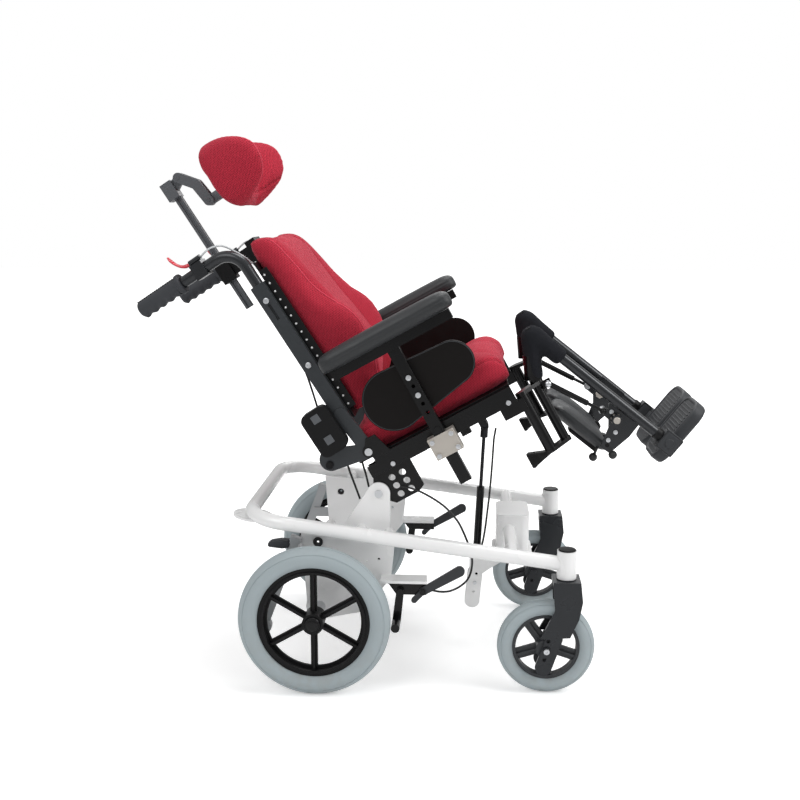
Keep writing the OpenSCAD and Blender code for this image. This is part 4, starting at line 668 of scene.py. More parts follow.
def rib_tree():
    """Small bars that stand on a surface, each turned along its own direction."""
    tree, given, made = new_tree("ribs", {"Length": 0.01, "Width": 0.002, "Height": 0.002})
    size = put(tree, "ShaderNodeCombineXYZ", {0: given["Length"], 1: given["Width"], 2: given["Height"]})
    bar = put(tree, "GeometryNodeMeshCube", {"Size": size.outputs[0]})
    turn = turned_to(tree, "Z", aim_attribute(tree, "aim"))
    turn = turned_to(tree, "X", aim_attribute(tree, "along"), turn, "Z")
    return close_tree(tree, given, made, given["Places"], bar.outputs[0], turn)


def stitch_tree():
    """Sewing stitches: small rounded threads laid end to end along a seam."""
    tree, given, made = new_tree("stitches", {"Stitch Length": 0.0032, "Pitch": 0.0045, "Thread Radius": 0.0005})
    line = put(tree, "GeometryNodeMeshToCurve", {0: given["Places"]})
    even = put(tree, "GeometryNodeResampleCurve", {"Curve": line.outputs[0], "Length": given["Pitch"]}, mode="LENGTH")
    spots = put(tree, "GeometryNodeCurveToPoints", {"Curve": even.outputs[0]}, mode="EVALUATED")
    bead = put(tree, "GeometryNodeMeshUVSphere", {"Segments": 6, "Rings": 5, "Radius": 1.0})
    half = times(tree, given["Stitch Length"], 0.5)
    size = put(tree, "ShaderNodeCombineXYZ", {0: given["Thread Radius"], 1: given["Thread Radius"], 2: half})
    drawn = put(tree, "GeometryNodeTransform", {"Geometry": bead.outputs[0], "Scale": size.outputs[0]})
    turn = turned_to(tree, "Z", spots.outputs["Tangent"])
    return close_tree(tree, given, made, spots.outputs["Points"], drawn.outputs[0], turn)


SCREWS = screw_tree()
RIBS = rib_tree()
STITCHES = stitch_tree()


def taken(holder):
    """The mesh that an object's modifiers make; the object itself goes."""
    made = bpy.data.meshes.new_from_object(holder.evaluated_get(bpy.context.evaluated_depsgraph_get()))
    bpy.data.objects.remove(holder)
    return made


def grown(tree, mesh, values, finish):
    """The plain mesh that a tree makes from a mesh of places."""
    holder = new_object("places", mesh)
    step = holder.modifiers.new("grow", "NODES")
    step.node_group = tree
    values = dict(values, Finish=FINISH[finish])
    for item in tree.interface.items_tree:
        if item.in_out == "INPUT" and item.name in values:
            step[item.identifier] = values[item.name]
    bpy.context.view_layer.update()
    return taken(holder)


def places_mesh(points, aims, alongs=None):
    mesh = bpy.data.meshes.new("places")
    mesh.from_pydata([tuple(point) for point in points], [], [])
    for label, rows in (("aim", aims), ("along", alongs)):
        if rows is not None:
            field = mesh.attributes.new(label, "FLOAT_VECTOR", "POINT")
            field.data.foreach_set("vector", [value for row in rows for value in row])
    return mesh


def line_mesh(lines):
    points, edges = [], []
    for line in lines:
        start = len(points)
        points += [tuple(point) for point in line]
        edges += [(start + i, start + i + 1) for i in range(len(line) - 1)]
    mesh = bpy.data.meshes.new("lines")
    mesh.from_pydata(points, edges, [])
    return mesh


def add_screws(name, points, aim, body, slot, radius, height, finish="zinc_plate", sides=20, key=0.5, depth=None):
    """Screw heads that stand on points and all look one way."""
    points = [point + aim * height * MM * 0.5 for point in points]
    values = {"Head Radius": radius * MM, "Head Height": height * MM, "Key Share": key,
              "Key Depth": (height * 0.6 if depth is None else depth) * MM, "Head Sides": sides}
    mesh = grown(SCREWS, places_mesh(points, [aim] * len(points)), values, finish)
    add_piece(name, mesh, None, body, crease=30)


def rib_row(points, aims, along, length, width, height, finish):
    """Bars on a surface: they stand along their aims and lie along one direction."""
    values = {"Length": length * MM, "Width": width * MM, "Height": height * MM}
    return grown(RIBS, places_mesh(points, aims, [along] * len(points)), values, finish)


def stitched(name, lines, body):
    values = {"Stitch Length": 3.4 * MM, "Pitch": 5.0 * MM, "Thread Radius": 0.55 * MM}
    add_piece(name, grown(STITCHES, line_mesh(lines), values, "sewing_thread"), None, body, crease=80)


def add_piping(name, mesh, lines, body):
    """The cord sewn into a seam, half sunk in the skin; its finish is the cover's red painted lighter, as a painted
    highlight.
    """
    welts = [tube(smooth_line(laid(mesh, line[2:-2:4], 0.7), 160), 1.5 * MM, 10, (0, 1, 0.3)) for line in lines]
    add_piece(name, joined(welts), "welt", body, crease=60)


# Padded pieces

CLOTH_TICKS = 20
CLOTH_PRESSURE = 4.0


def bulge(value, power):
    """A sine or cosine, squared up by a power below one."""
    return math.copysign(abs(value) ** power, value)


def ease(share):
    share = min(max(share, 0.0), 1.0)
    return share * share * (3 - 2 * share)


def mix(low, high, share):
    return low + (high - low) * share


def table_rows(table, count):
    """A table read off between its rows, closer together at both ends."""
    firsts = [row[0] for row in table]
    rows = []
    for i in range(count + 1):
        t = 0.5 - 0.5 * math.cos(math.pi * i / count)
        rows.append([t] + [float(np.interp(t, firsts, [row[k] for row in table])) for k in range(1, len(table[0]))])
    return rows


def applied(mesh, kind, **settings):
    """The mesh that one modifier makes of another."""
    holder = new_object("holder", mesh)
    step = holder.modifiers.new("step", kind)
    for key, value in settings.items():
        setattr(step, key, value)
    return taken(holder)


def read(rows, field, width=1, kind=np.float32):
    """One field of a mesh's points, edges or faces, as an array."""
    flat = np.empty(len(rows) * width, dtype=kind)
    rows.foreach_get(field, flat)
    return flat.reshape(-1, width) if width > 1 else flat


def points_of(mesh):
    return read(mesh.vertices, "co", 3).astype(float)


def normals_of(mesh):
    return read(mesh.vertex_normals, "vector", 3).astype(float)


def set_points(mesh, points):
    mesh.vertices.foreach_set("co", points.astype(np.float32).ravel())
    mesh.update()


def relax(mesh, rounds):
    """Evens out a skin by drawing each point halfway to the middle of its neighbours."""
    ends = read(mesh.edges, "vertices", 2, np.int32)
    here = np.concatenate([ends[:, 0], ends[:, 1]])
    there = np.concatenate([ends[:, 1], ends[:, 0]])
    points = points_of(mesh)
    size = len(points)
    count = np.maximum(np.bincount(here, minlength=size), 1)
    for _ in range(rounds):
        for k in range(3):
            near = np.bincount(here, weights=points[there, k], minlength=size) / count
            points[:, k] += (near - points[:, k]) * 0.5
    set_points(mesh, points)


def padded_skin(mesh, draw_in, cap, voxel=5.0, even=8):
    """A cover blown up over its padding by a cloth simulation, from a form drawn in a little.

    No point moves further than the cap.
    """
    form = applied(mesh, "REMESH", mode="VOXEL", voxel_size=voxel * MM)
    relax(form, even)
    start = points_of(form) - normals_of(form) * draw_in * MM
    set_points(form, start)
    holder = new_object("cover", form)
    cover = holder.modifiers.new("cover", "CLOTH").settings
    cover.use_pressure = True
    cover.uniform_pressure_force = CLOTH_PRESSURE
    cover.effector_weights.gravity = 0.0
    for tick in range(1, CLOTH_TICKS + 1):
        bpy.context.scene.frame_set(tick)
    step = points_of(taken(holder)) - start
    bpy.context.scene.frame_set(1)
    far = np.maximum(np.linalg.norm(step, axis=1, keepdims=True), 1e-9)
    limit = cap * MM
    set_points(form, start + step / far * limit * np.tanh(far / limit))
    relax(form, 3)
    return applied(form, "SUBSURF", levels=1, render_levels=1)


def in_frame(where, points):
    """Points in millimetres of one of the frames above."""
    back = np.array(where.inverted())
    return (points @ back[:3, :3].T + back[:3, 3]) / MM


def out_of_frame(where, points):
    there = np.array(where)
    return points * MM @ there[:3, :3].T + there[:3, 3]


def flatten(mesh, where, axis, low):
    """Keeps a skin on its side of a plane that it rests on."""
    points = in_frame(where, points_of(mesh))
    points[:, axis] = np.maximum(points[:, axis], low)
    set_points(mesh, out_of_frame(where, points))


def laid(mesh, line, lift=0.0):
    """A line drawn down onto the nearest points of a skin."""
    skin = BVHTree.FromPolygons([v.co for v in mesh.vertices], [p.vertices for p in mesh.polygons])
    spots = []
    for point in line:
        on, normal, _, _ = skin.find_nearest(point)
        spots.append(on + normal * lift * MM)
    return spots


def sewn(mesh, lines, depth, width, pucker=0.0, pitch=19.0):
    """Pulls a skin in along its seams, with small puckers beside them."""
    marks = [(point, i * (line[1] - line[0]).length) for line in lines for i, point in enumerate(line)]
    tree = KDTree(len(marks))
    for i, (point, _) in enumerate(marks):
        tree.insert(point, i)
    tree.balance()
    points, normals = points_of(mesh), normals_of(mesh)
    for i, point in enumerate(points):
        _, mark, far = tree.find(point)
        far /= MM
        if far < width * 5:
            pull = depth * math.exp(-((far / width) ** 2))
            wave = 0.5 + 0.5 * math.cos(math.tau * marks[mark][1] / (pitch * MM))
            pull += pucker * wave * math.exp(-((far / (width * 2.4)) ** 2))
            point -= normals[i] * pull * MM
    set_points(mesh, points)


def cloth_map(mesh, where):
    """A map in metres over a cover, from the sides of the frame it was laid out in."""
    points = in_frame(where, points_of(mesh)) * MM
    corner = read(mesh.loops, "vertex_index", kind=np.int32)
    sizes = read(mesh.polygons, "loop_total", kind=np.int32)
    faced = np.abs(read(mesh.polygons, "normal", 3) @ np.array(where.inverted())[:3, :3].T)
    side = np.repeat(np.argmax(faced, axis=1), sizes)
    spots = points[corner]
    chart = np.where((side == 0)[:, None], spots[:, [1, 2]],
                     np.where((side == 1)[:, None], spots[:, [0, 2]], spots[:, [1, 0]]))
    mesh.uv_layers.new(name="cloth").data.foreach_set("uv", chart.astype(np.float32).ravel())


def mirrored(mesh):
    """The same piece for the other side of the chair."""
    other = mesh.copy()
    other.transform(Matrix.Diagonal((1, -1, 1, 1)))
    other.flip_normals()
    return other


def both_sides(mesh):
    return joined([mesh, mirrored(mesh)])


def for_sides(mesh):
    """The two sides' names, signs and meshes of a piece that is made on the left."""
    return [(side, sign, mesh if sign > 0 else mirrored(mesh)) for side, sign in SIDES.items()]


def add_pair(name, mesh, finish, body, replaced="", crease=38):
    """A piece on the left body and its mirror image on the right one."""
    for side, _, skin in for_sides(mesh):
        solids = [f"{replaced}_{side}"] if replaced else ()
        add_piece(f"{name}_{side}", skin, finish, f"{body}_{side}", solids, crease)


def add_pad(name, mesh, where, finish, body, replaced):
    cloth_map(mesh, where)
    piece = add_piece(name, mesh, finish, body, [replaced], crease=180)
    return piece


def add_pad_pair(name, mesh, where, body, replaced):
    for side, _, skin in for_sides(mesh):
        add_pad(f"{name}_{side}", skin, where, "pad_skin", f"{body}_{side}", f"{replaced}_{side}")


# Seat cushion

SEAT_ROWS = [[0, 0.35], [0.015, 0.72], [0.05, 0.92], [0.12, 1], [0.3, 1.02], [0.5, 1.02], [0.66, 1.05], [0.78, 1.11],
             [0.87, 1.16], [0.93, 1.13], [0.965, 1.02], [0.985, 0.86], [1, 0.55]]
SEAT_REAR = -4
SEAT_LENGTH = 362
SEAT_HALF = 195
SEAT_BOTTOM = 76.6
SEAT_RISE = 66
SEAT_CROWN = 86
SEAT_WAIST = 0.42
SEAT_DIP = 9
SEAT_SEAM_DEG = 58


def seat_point(t, rise, angle):
    """A point of the cushion's section at a share of its length; a rise past 1 is the roll at the front."""
    end = min(t, 1 - t)
    half = SEAT_HALF * mix(0.94, 1, ease(end / 0.1))
    top = SEAT_RISE * rise if rise <= 1 else mix(SEAT_RISE, SEAT_CROWN, (rise - 1) / 0.3)
    across, up = bulge(math.cos(angle), 0.3), bulge(math.sin(angle), 0.45)
    if up > 0:
        dip = SEAT_DIP * ease(end / 0.2) * (1 - math.cos(math.tau * abs(across))) / 2
        height = SEAT_BOTTOM + top * mix(SEAT_WAIST, 1, up) - dip
    else:
        height = SEAT_BOTTOM + top * SEAT_WAIST * (1 + up)
    return place(SEAT, SEAT_LENGTH * t + SEAT_REAR, half * across, height)


def add_seat_cushion():
    rows = table_rows(SEAT_ROWS, 44)
    mesh = loft([[seat_point(t, rise, a) for a in circle(72)] for t, rise in rows])
    mesh = padded_skin(mesh, draw_in=2.5, cap=10)
    flatten(mesh, SEAT, 2, low=SEAT_BOTTOM)
    edges = []
    for side in SIDES.values():
        angle = math.radians(90 - side * SEAT_SEAM_DEG)
        edges.append([seat_point(t, rise, angle) for t, rise in table_rows(SEAT_ROWS, 160)[6:-10]])
    edges = [laid(mesh, smooth_line(line, 240)) for line in edges]
    sewn(mesh, edges, 2.0, 4.0, pucker=0.5)
    threads = [laid(mesh, line, 0.35) for line in edges]
    flatten(mesh, SEAT, 2, low=SEAT_BOTTOM)
    add_pad("seat_cushion_cover", mesh, SEAT, "cloth", "seat", "seat_cushion")
    stitched("seat_stitches", threads, "seat")


# Back cushion and headrest: a front with wings at both sides

BACK_ROWS = [[0, 0.9, 0.3, 0.3], [0.02, 0.97, 0.72, 0.62], [0.07, 1, 0.94, 0.86], [0.16, 1, 1.08, 1.0],
             [0.24, 1, 1.14, 1.1], [0.32, 1, 1.16, 1.17], [0.4, 1, 1.1, 1.18], [0.47, 1, 1.06, 1.1],
             [0.53, 1, 1, 0.98], [0.6, 1, 0.96, 0.87], [0.68, 1, 0.93, 0.78], [0.76, 0.99, 0.9, 0.725],
             [0.85, 0.97, 0.88, 0.65], [0.93, 0.95, 0.8, 0.57], [0.975, 0.92, 0.62, 0.46], [1, 0.86, 0.26, 0.22]]
HEAD_ROWS = [[0, 0.42, 0.26, 0.2], [0.04, 0.62, 0.6, 0.38], [0.1, 0.76, 0.8, 0.56], [0.18, 0.87, 0.92, 0.78],
             [0.3, 0.95, 1, 0.93], [0.45, 1, 1, 1], [0.6, 1, 1, 1], [0.72, 0.98, 0.98, 0.92], [0.82, 0.94, 0.92, 0.78],
             [0.9, 0.86, 0.82, 0.62], [0.96, 0.74, 0.62, 0.44], [1, 0.52, 0.24, 0.18]]


WING_SQUARE = 0.6


class Winged:
    """The shape of a cushion with wings, as loops from the bottom up.

    Each row gives a share of the height, then the shares of half, depth and wing that hold there. A wing starts
    at the edge and is full at the crest, both shares of the half width.
    """

    def __init__(self, rows, rear, low, high, half, depth, wing, edge, crest, rounding=0.0, corner=0.24):
        self.rows, self.rear, self.low, self.high = rows, rear, low, high
        self.half, self.depth, self.wing = half, depth, wing
        self.edge, self.crest, self.rounding, self.corner = edge, crest, rounding, corner

    def row(self, t):
        return [float(np.interp(t, [row[0] for row in self.rows], [row[k] for row in self.rows])) for k in (1, 2, 3)]

    def behind(self, t):
        """How far forward the rear face lies at a share of the height."""
        return self.rear + self.rounding * (1 - math.sqrt(1 - abs(2 * t - 1) ** 3))

    def front(self, t, angle):
        """A point of the front at a share of the height; the angle runs from one side to the other."""
        width, depth, wing = self.row(t)
        y = -self.half * width * bulge(math.cos(angle), WING_SQUARE)
        side = ease((abs(y) / (self.half * width) - self.edge) / (self.crest - self.edge))
        reach = mix(self.depth * depth, max(self.depth * depth, self.wing * wing), side)
        out = max(math.sin(angle), 0.0) ** self.corner if 0.001 < angle < math.pi - 0.001 else 0.12
        behind = self.behind(t)
        ahead = self.rear + reach * (1 - 0.18 * (behind - self.rear) / max(self.rounding, 1))
        return place(BACK, mix(behind, max(ahead, behind + 4), out), y, mix(self.low, self.high, t))

    def across(self, t, share):
        """A point of the front where y is a share of the half width."""
        return self.front(t, math.acos(-bulge(share, 1 / WING_SQUARE)))

    def mesh(self, rows=44, count=60):
        loops = []
        for (t,) in table_rows([[0], [1]], rows):
            width, height = self.half * self.row(t)[0], mix(self.low, self.high, t)
            loop = [self.front(t, math.pi * j / count) for j in range(count + 1)]
            rear = [place(BACK, self.behind(t), width * 0.97 * math.cos(math.tau * j / count), height)
                    for j in range(1, count // 2)]
            loops.append(loop + rear)
        return loft(loops)

    def line(self, share, low, high, steps=120):
        return [self.across(mix(low, high, i / steps), share) for i in range(steps + 1)]


BACK_FORM = Winged(BACK_ROWS, rear=11.6, low=74, high=494, half=178, depth=72, wing=114, edge=0.56, crest=0.92)
HEAD_FORM = Winged(HEAD_ROWS, rear=14, low=554, high=721, half=140, depth=46, wing=143, edge=0.36, crest=0.93,
                   rounding=34.0, corner=0.22)
RIDGE = 0.93
CREASE = 0.62


def add_back_cushion():
    mesh = padded_skin(BACK_FORM.mesh(), draw_in=2.5, cap=9, even=5)
    flatten(mesh, BACK, 0, low=BACK_FORM.rear)
    ridges = [BACK_FORM.line(side * RIDGE, 0.03, 0.985) for side in SIDES.values()]
    creases = [BACK_FORM.line(side * CREASE, 0.03, 0.975) for side in SIDES.values()]
    seams = [laid(mesh, smooth_line(line, 260)) for line in ridges]
    folds = [laid(mesh, smooth_line(line, 260)) for line in creases]
    sewn(mesh, seams, 1.4, 3.0, pucker=0.5)
    sewn(mesh, folds, 1.6, 5.0, pucker=0.6, pitch=31)
    threads = [laid(mesh, line, 0.3) for line in seams + folds]
    flatten(mesh, BACK, 0, low=BACK_FORM.rear)
    add_pad("back_cushion_cover", mesh, BACK, "cloth", "back", "back_cushion")
    stitched("back_stitches", threads, "back")
    add_piping("back_piping", mesh, seams, "back")


def add_headrest():
    mesh = padded_skin(HEAD_FORM.mesh(), draw_in=2, cap=8, voxel=4, even=5)
    flatten(mesh, BACK, 0, low=HEAD_FORM.rear)
    rims = [HEAD_FORM.line(side * RIDGE, 0.05, 0.975) for side in SIDES.values()]
    cross = [HEAD_FORM.across(0.2, mix(-0.84, 0.84, i / 80)) for i in range(81)]
    seams = [laid(mesh, smooth_line(line, 160)) for line in rims + [cross]]
    sewn(mesh, seams, 1.8, 2.8, pucker=0.8, pitch=14)
    threads = [laid(mesh, line, 0.3) for line in seams]
    add_pad("headrest_cover", mesh, BACK, "cloth", "headrest", "headrest_pad")
    stitched("headrest_stitches", threads, "headrest")
    add_piping("headrest_piping", mesh, seams[:2], "headrest")
    lug = slab(BACK, pill((-32.5, 623), 11, (16, 623), 11), -7, 7, 1.6)
    boss = rounded_box(BACK, (2, -18, 605), (16, 18, 641), 3)
    pin = turned(BACK, (-32.5, 623), [(0.1, -15.4), (3.2, -15.4), (4, -14.6), (4, 14.6), (3.2, 15.4), (0.1, 15.4)], 28)
    add_piece("headrest_mount", joined([lug, boss, pin]), "arm_grey", "headrest")


# Flat plates and links


def pill(a, ra, b, rb, steps=16):
    """The outline round two circles."""
    run = math.hypot(b[0] - a[0], b[1] - a[1])
    turn = math.atan2(b[1] - a[1], b[0] - a[0])
    lean = math.acos((ra - rb) / run)
    spots = []
    for i in range(steps + 1):
        w = turn - lean + 2 * lean * i / steps
        spots.append((b[0] + rb * math.cos(w), b[1] + rb * math.sin(w)))
    for i in range(steps + 1):
        w = turn + lean + (math.tau - 2 * lean) * i / steps
        spots.append((a[0] + ra * math.cos(w), a[1] + ra * math.sin(w)))
    return spots


def inset(outline, by):
    """An outline drawn in by a length, for outlines that run anticlockwise."""
    made = []
    count = len(outline)
    for i in range(count):
        before, after = outline[i - 1], outline[(i + 1) % count]
        dx, dy = after[0] - before[0], after[1] - before[1]
        run = math.hypot(dx, dy)
        made.append((outline[i][0] - dy / run * by, outline[i][1] + dx / run * by))
    return made


def slab(where, outline, low, high, edge):
    """A flat piece with eased edges: an outline in the frame's XZ plane, from y low to y high."""
    loops = []
    steps = [(low, edge), (low + edge * 0.3, edge * 0.3), (low + edge, 0), (high - edge, 0),
             (high - edge * 0.3, edge * 0.3), (high, edge)]
    for y, by in steps:
        loops.append([place(where, x, y, z) for x, z in (inset(outline, by) if by else outline)])
    return loft(loops)


# Arm pads, calf pads and knee sleeves

LEG_Y = 160
SLEEVE_R = 20

ARM_ROWS = [[0, 0.42, 0.5], [0.012, 0.66, 0.74], [0.04, 0.88, 0.92], [0.09, 1, 1], [0.3, 0.98, 0.98],
            [0.7, 0.98, 0.98], [0.91, 1, 1], [0.96, 0.88, 0.92], [0.988, 0.66, 0.74], [1, 0.42, 0.5]]
ARM_REAR, ARM_LENGTH, ARM_Y = 30, 298, 242
ARM_HALF = 28
ARM_BOTTOM, ARM_RISE = 272.3, 40
ARM_WAIST = 0.4
CALF_ROWS = [[0, 0.6, 0.4], [0.03, 0.82, 0.74], [0.1, 0.95, 0.94], [0.3, 1, 1], [0.7, 1, 1], [0.9, 0.95, 0.94],
             [0.97, 0.82, 0.74], [1, 0.6, 0.4]]
CALF_TOP, CALF_LENGTH, CALF_Y = 142, 150, 71
CALF_HALF, CALF_THICK = 65, 16
CALF_BACK, CALF_HOLLOW = 86, 9


def arm_point(t, width, rise, angle):
    waist = ARM_RISE * ARM_WAIST
    across, up = bulge(math.cos(angle), 0.6), bulge(math.sin(angle), 0.7)
    height = mix(waist, mix(waist, ARM_RISE, rise), up) if up > 0 else waist * (1 + up)
    return place(SEAT, ARM_REAR + ARM_LENGTH * t, ARM_Y + ARM_HALF * width * across, ARM_BOTTOM + height)


def add_arm_pads():
    loops = [[arm_point(t, w, rise, a) for a in circle(48)] for t, w, rise in table_rows(ARM_ROWS, 50)]
    mesh = padded_skin(loft(loops), draw_in=1, cap=5, voxel=4)
    flatten(mesh, SEAT, 2, low=ARM_BOTTOM)
    for angle in (math.radians(8), math.radians(172)):
        line = [arm_point(t, w, rise, angle) for t, w, rise in table_rows(ARM_ROWS, 120)[3:-3]]
        seam = laid(mesh, smooth_line(line, 220))
        sewn(mesh, [seam], 0.8, 1.5)
    add_pad_pair("arm_pad_skin", mesh, SEAT, "armrest", "arm_pad")


def calf_point(t, width, thick, angle):
    y = CALF_HALF * width * bulge(math.cos(angle), 0.7)
    hollow = CALF_HOLLOW * (1 - (y / CALF_HALF) ** 2)
    q = CALF_THICK * thick * bulge(math.sin(angle), 0.8) - CALF_BACK - hollow
    return place(KNEE, CALF_TOP + CALF_LENGTH * t, CALF_Y + y, q)


def add_calf_pads():
    loops = [[calf_point(t, w, k, a) for a in circle(56)] for t, w, k in table_rows(CALF_ROWS, 40)]
    mesh = padded_skin(loft(loops), draw_in=1.5, cap=6, voxel=4)
    ring = [calf_point(t, 1, 1, math.radians(3)) for t in np.linspace(0.04, 0.96, 60)]
    ring += [calf_point(0.985, 0.75, 0.6, math.radians(a)) for a in range(6, 175, 4)]
    ring += [calf_point(t, 1, 1, math.radians(177)) for t in np.linspace(0.96, 0.04, 60)]
    seam = laid(mesh, smooth_line(ring, 300))
    sewn(mesh, [seam], 0.9, 1.6)
    add_pad_pair("calf_pad_skin", mesh, KNEE, "calf", "calf_pad")
    plate = rounded_box(KNEE, (205, 53, -118), (279, 89, -106), 4)
    pin = rod(KNEE, [(275, 71, -84), (275, 150, -84)], 3.95, 20, (1, 0, 0))
    lug = slab(KNEE, pill((275, -84), 9, (262, -108), 9), 58, 84, 2)
    add_pair("calf_carrier", joined([plate, pin, lug]), "black_plastic", "calf")


def add_knee_sleeves():
    """Foam sleeves that bend over the knees and narrow at both ends."""
    knee = place(KNEE, 0, LEG_Y, 0)
    foot = place(SEAT, 391, LEG_Y, 50)
    leg = place(KNEE, 88, LEG_Y, 0)
    up, down = (knee - foot).normalized(), (leg - knee).normalized()
    near, far = 17 * MM, 50 * MM
    knots = [foot, foot.lerp(knee, 0.4), knee - up * near, knee - (up - down) * 3 * MM, knee + down * near,
             knee + down * far, leg]
    line = smooth_line(knots, 60)
    radii = [(SLEEVE_R + 2.4 * math.exp(-((i - 33) / 9) ** 2)) * MM for i in range(len(line))]
    for i, share in enumerate((0.72, 0.86, 0.95)):
        radii[i] = radii[-1 - i] = SLEEVE_R * MM * share
    mesh = padded_skin(tube(line, radii, 28, (0, 1, 0)), draw_in=1, cap=3.5, voxel=4, even=4)
    for side, sign, skin in for_sides(mesh):
        piece = add_pad(f"knee_sleeve_{side}", skin, KNEE, "closed_foam", None, f"knee_foam_{side}")
        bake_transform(piece)


# Tyres

GROOVE_DEPTH = 0.9
GROOVE_TOP_DEG, GROOVE_FLOOR_DEG = 2.2, 1.2
GROOVE_CLEAR_DEG = 2.8


def tyre(centre, y, outer, section, seat_radius, grooves):
    """A grey tyre: a round section with fine grooves at angles from its tread, closed at the seat in its rim."""
    middle = outer - section
    limit = math.degrees(math.acos((seat_radius - middle) / section))
    marks = [(a, 0) for a in np.linspace(-limit, limit, 45)
             if all(abs(abs(a) - groove) > GROOVE_CLEAR_DEG for groove in grooves)]
    for at in [sign * groove for groove in grooves for sign in (-1, 1)]:
        marks += [(at - GROOVE_TOP_DEG, 0), (at - GROOVE_FLOOR_DEG, GROOVE_DEPTH),
                  (at + GROOVE_FLOOR_DEG, GROOVE_DEPTH), (at + GROOVE_TOP_DEG, 0)]
    points = [(middle + (section - d) * math.cos(math.radians(a)), y + (section - d) * math.sin(math.radians(a)))
              for a, d in sorted(marks)]
    return turned(BASE, centre, points, 120)


def add_tyres():
    rear = tyre(REAR_HUB, 280, 157.5, 23, 116.2, (14, 62))
    add_pair("rear_tyre_moulded", rear, "rear_tyre", "rear_wheel", "rear_tyre", 30)
    front = tyre(CASTER_HUB, 240, 100, 17, 69.2, (16, 58))
    add_pair("caster_tyre_moulded", front, "caster_tyre", "caster_wheel", "caster_tyre", 30)


# Push grips

GRIP = BACK @ moved(-8, 188, 449) @ Matrix.Rotation(math.radians(7), 4, "Z")
GRIP_END, GRIP_LENGTH = -244.5, 112
GRIP_RISE, GRIP_R = 45, 17.6
GRIP_STATIONS = 92
FINGERS_FROM, FINGERS_TO, FINGER_PITCH = 8, 92, 21


def add_grips():
    loops = []
    for i in range(GRIP_STATIONS + 1):
        run = GRIP_LENGTH * i / GRIP_STATIONS
        held = FINGERS_FROM < run < FINGERS_TO
        wave = 0.5 - 0.5 * math.cos(math.tau * (run - FINGERS_FROM) / FINGER_PITCH) if held else 0.0
        radius = GRIP_R - 5 * (1 - run / 6) ** 2 if run < 6 else GRIP_R
        radius += 3.7 * (ease((run - 99) / 5) * (1 - 0.25 * ease((run - 109) / 3)))
        loop = []
        for a in circle(44):
            under = max(-math.sin(a), 0.0) ** 1.5
            r = radius - 3.2 * wave * under + (2.2 * under if 6 < run < 98 else 0)
            loop.append(place(GRIP, GRIP_END + run, r * math.cos(a) * 0.96, GRIP_RISE + r * math.sin(a)))
        loops.append(loop)
    turn = GRIP.to_3x3()
    spots = [place(GRIP, -238 + k * 5.6, 0, GRIP_RISE + 17.5) for k in range(17)]
    ribs = rib_row(spots, [turn @ Vector((0, 0, 1))] * 17, turn @ Vector((0, 1, 0)), 13, 2.6, 2.4, "cable_black")
    add_piece("push_grips_moulded", both_sides(loft(loops)), "grip_rubber", "handles", ["push_grips"],
              45)
    add_piece("push_grip_ribs", both_sides(ribs), "cable_black", "handles")


# Footplates and the fittings of the leg tubes


def round_rect(cy, cq, half_y, half_q, radius, steps=7):
    spots = []
    for k, (sy, sq) in enumerate(((1, 1), (-1, 1), (-1, -1), (1, -1))):
        for i in range(steps + 1):
            a = math.pi / 2 * (k + i / steps)
            spots.append((cy + sy * (half_y - radius) + radius * math.cos(a),
                          cq + sq * (half_q - radius) + radius * math.sin(a)))
    return spots


def add_footplates():
    steps = [(391, 18), (395.2, 16), (396, 13), (396, 6), (394.6, 2.4), (391.5, 0.6), (388, 0), (374, 0), (371, 0.8),
             (369.4, 2.4), (369, 4), (369, 7), (369.8, 8.2), (371, 9), (371, 12)]
    loops = []
    for p, by in steps:
        outline = round_rect(70.7, 25, 62 - by, 75 - by, max(34 - by, 5))
        loops.append([place(KNEE, p, y, q) for y, q in outline])
    plate = loft(loops)
    barrel = rod(KNEE, [(372, 138.7, q) for q in (-14, -12, 12, 14)], [5, 6, 6, 5], 24)
    arm = rounded_box(KNEE, (369.5, 128, -13.5), (381, 139, 13.5), 2.5)
    add_pair("footplate_moulded", joined([plate, barrel, arm]), "foot_plastic", "foot", "footplate", 40)
    spots = [place(KNEE, 370.6, 70.7, -31 + 8 * k) for k in range(15)]
    up = KNEE.to_3x3() @ Vector((-1, 0, 0))
    ribs = rib_row(spots, [up] * 15, OUT, 90, 2.8, 2.6, "foot_plastic")
    add_pair("footplate_tread", ribs, None, "foot")


def star(where, centre, profile, lobes, depth, steps=72):
    """A hand knob turned about Y, with finger lobes."""
    loops = []
    for r, y in profile:
        loop = []
        for a in circle(steps):
            out = r - depth * (0.5 - 0.5 * math.cos(lobes * a)) if r > 8 else r
            loop.append(place(where, centre[0] + out * math.cos(a), y, centre[1] + out * math.sin(a)))
        loops.append(loop)
    return loft(loops)


def add_leg_fittings():
    block = rounded_box(KNEE, (344.6, 144.6, -21.4), (385.4, 175.4, 21.4), 5, 4)
    cap = turned(KNEE, (365, 0), [(0.1, 177.2), (8.4, 177.2), (9.4, 176.2), (9.4, 175), (0.1, 175)], 36)
    add_pair("foot_block_shell", joined([block, cap]), "foot_plastic", "leg")
    knob = star(KNEE, (253, -30), [(0.1, 144.2), (9, 144.2), (11.6, 146), (11.8, 158), (10.6, 162), (7.6, 163.4),
                                   (7.2, 167.6), (6, 168.6), (0.1, 168.6)], 7, 1.4)
    add_pair("calf_hand_knob", knob, "receiver_silver", "leg", crease=30)
    sleeve = rod(KNEE, [(p, LEG_Y, 0) for p in (329, 331, 343, 345)], [11.6, 13.2, 13.2, 12.6], 32)
    add_pair("leg_clamp_sleeve", sleeve, "black_plastic", "leg")


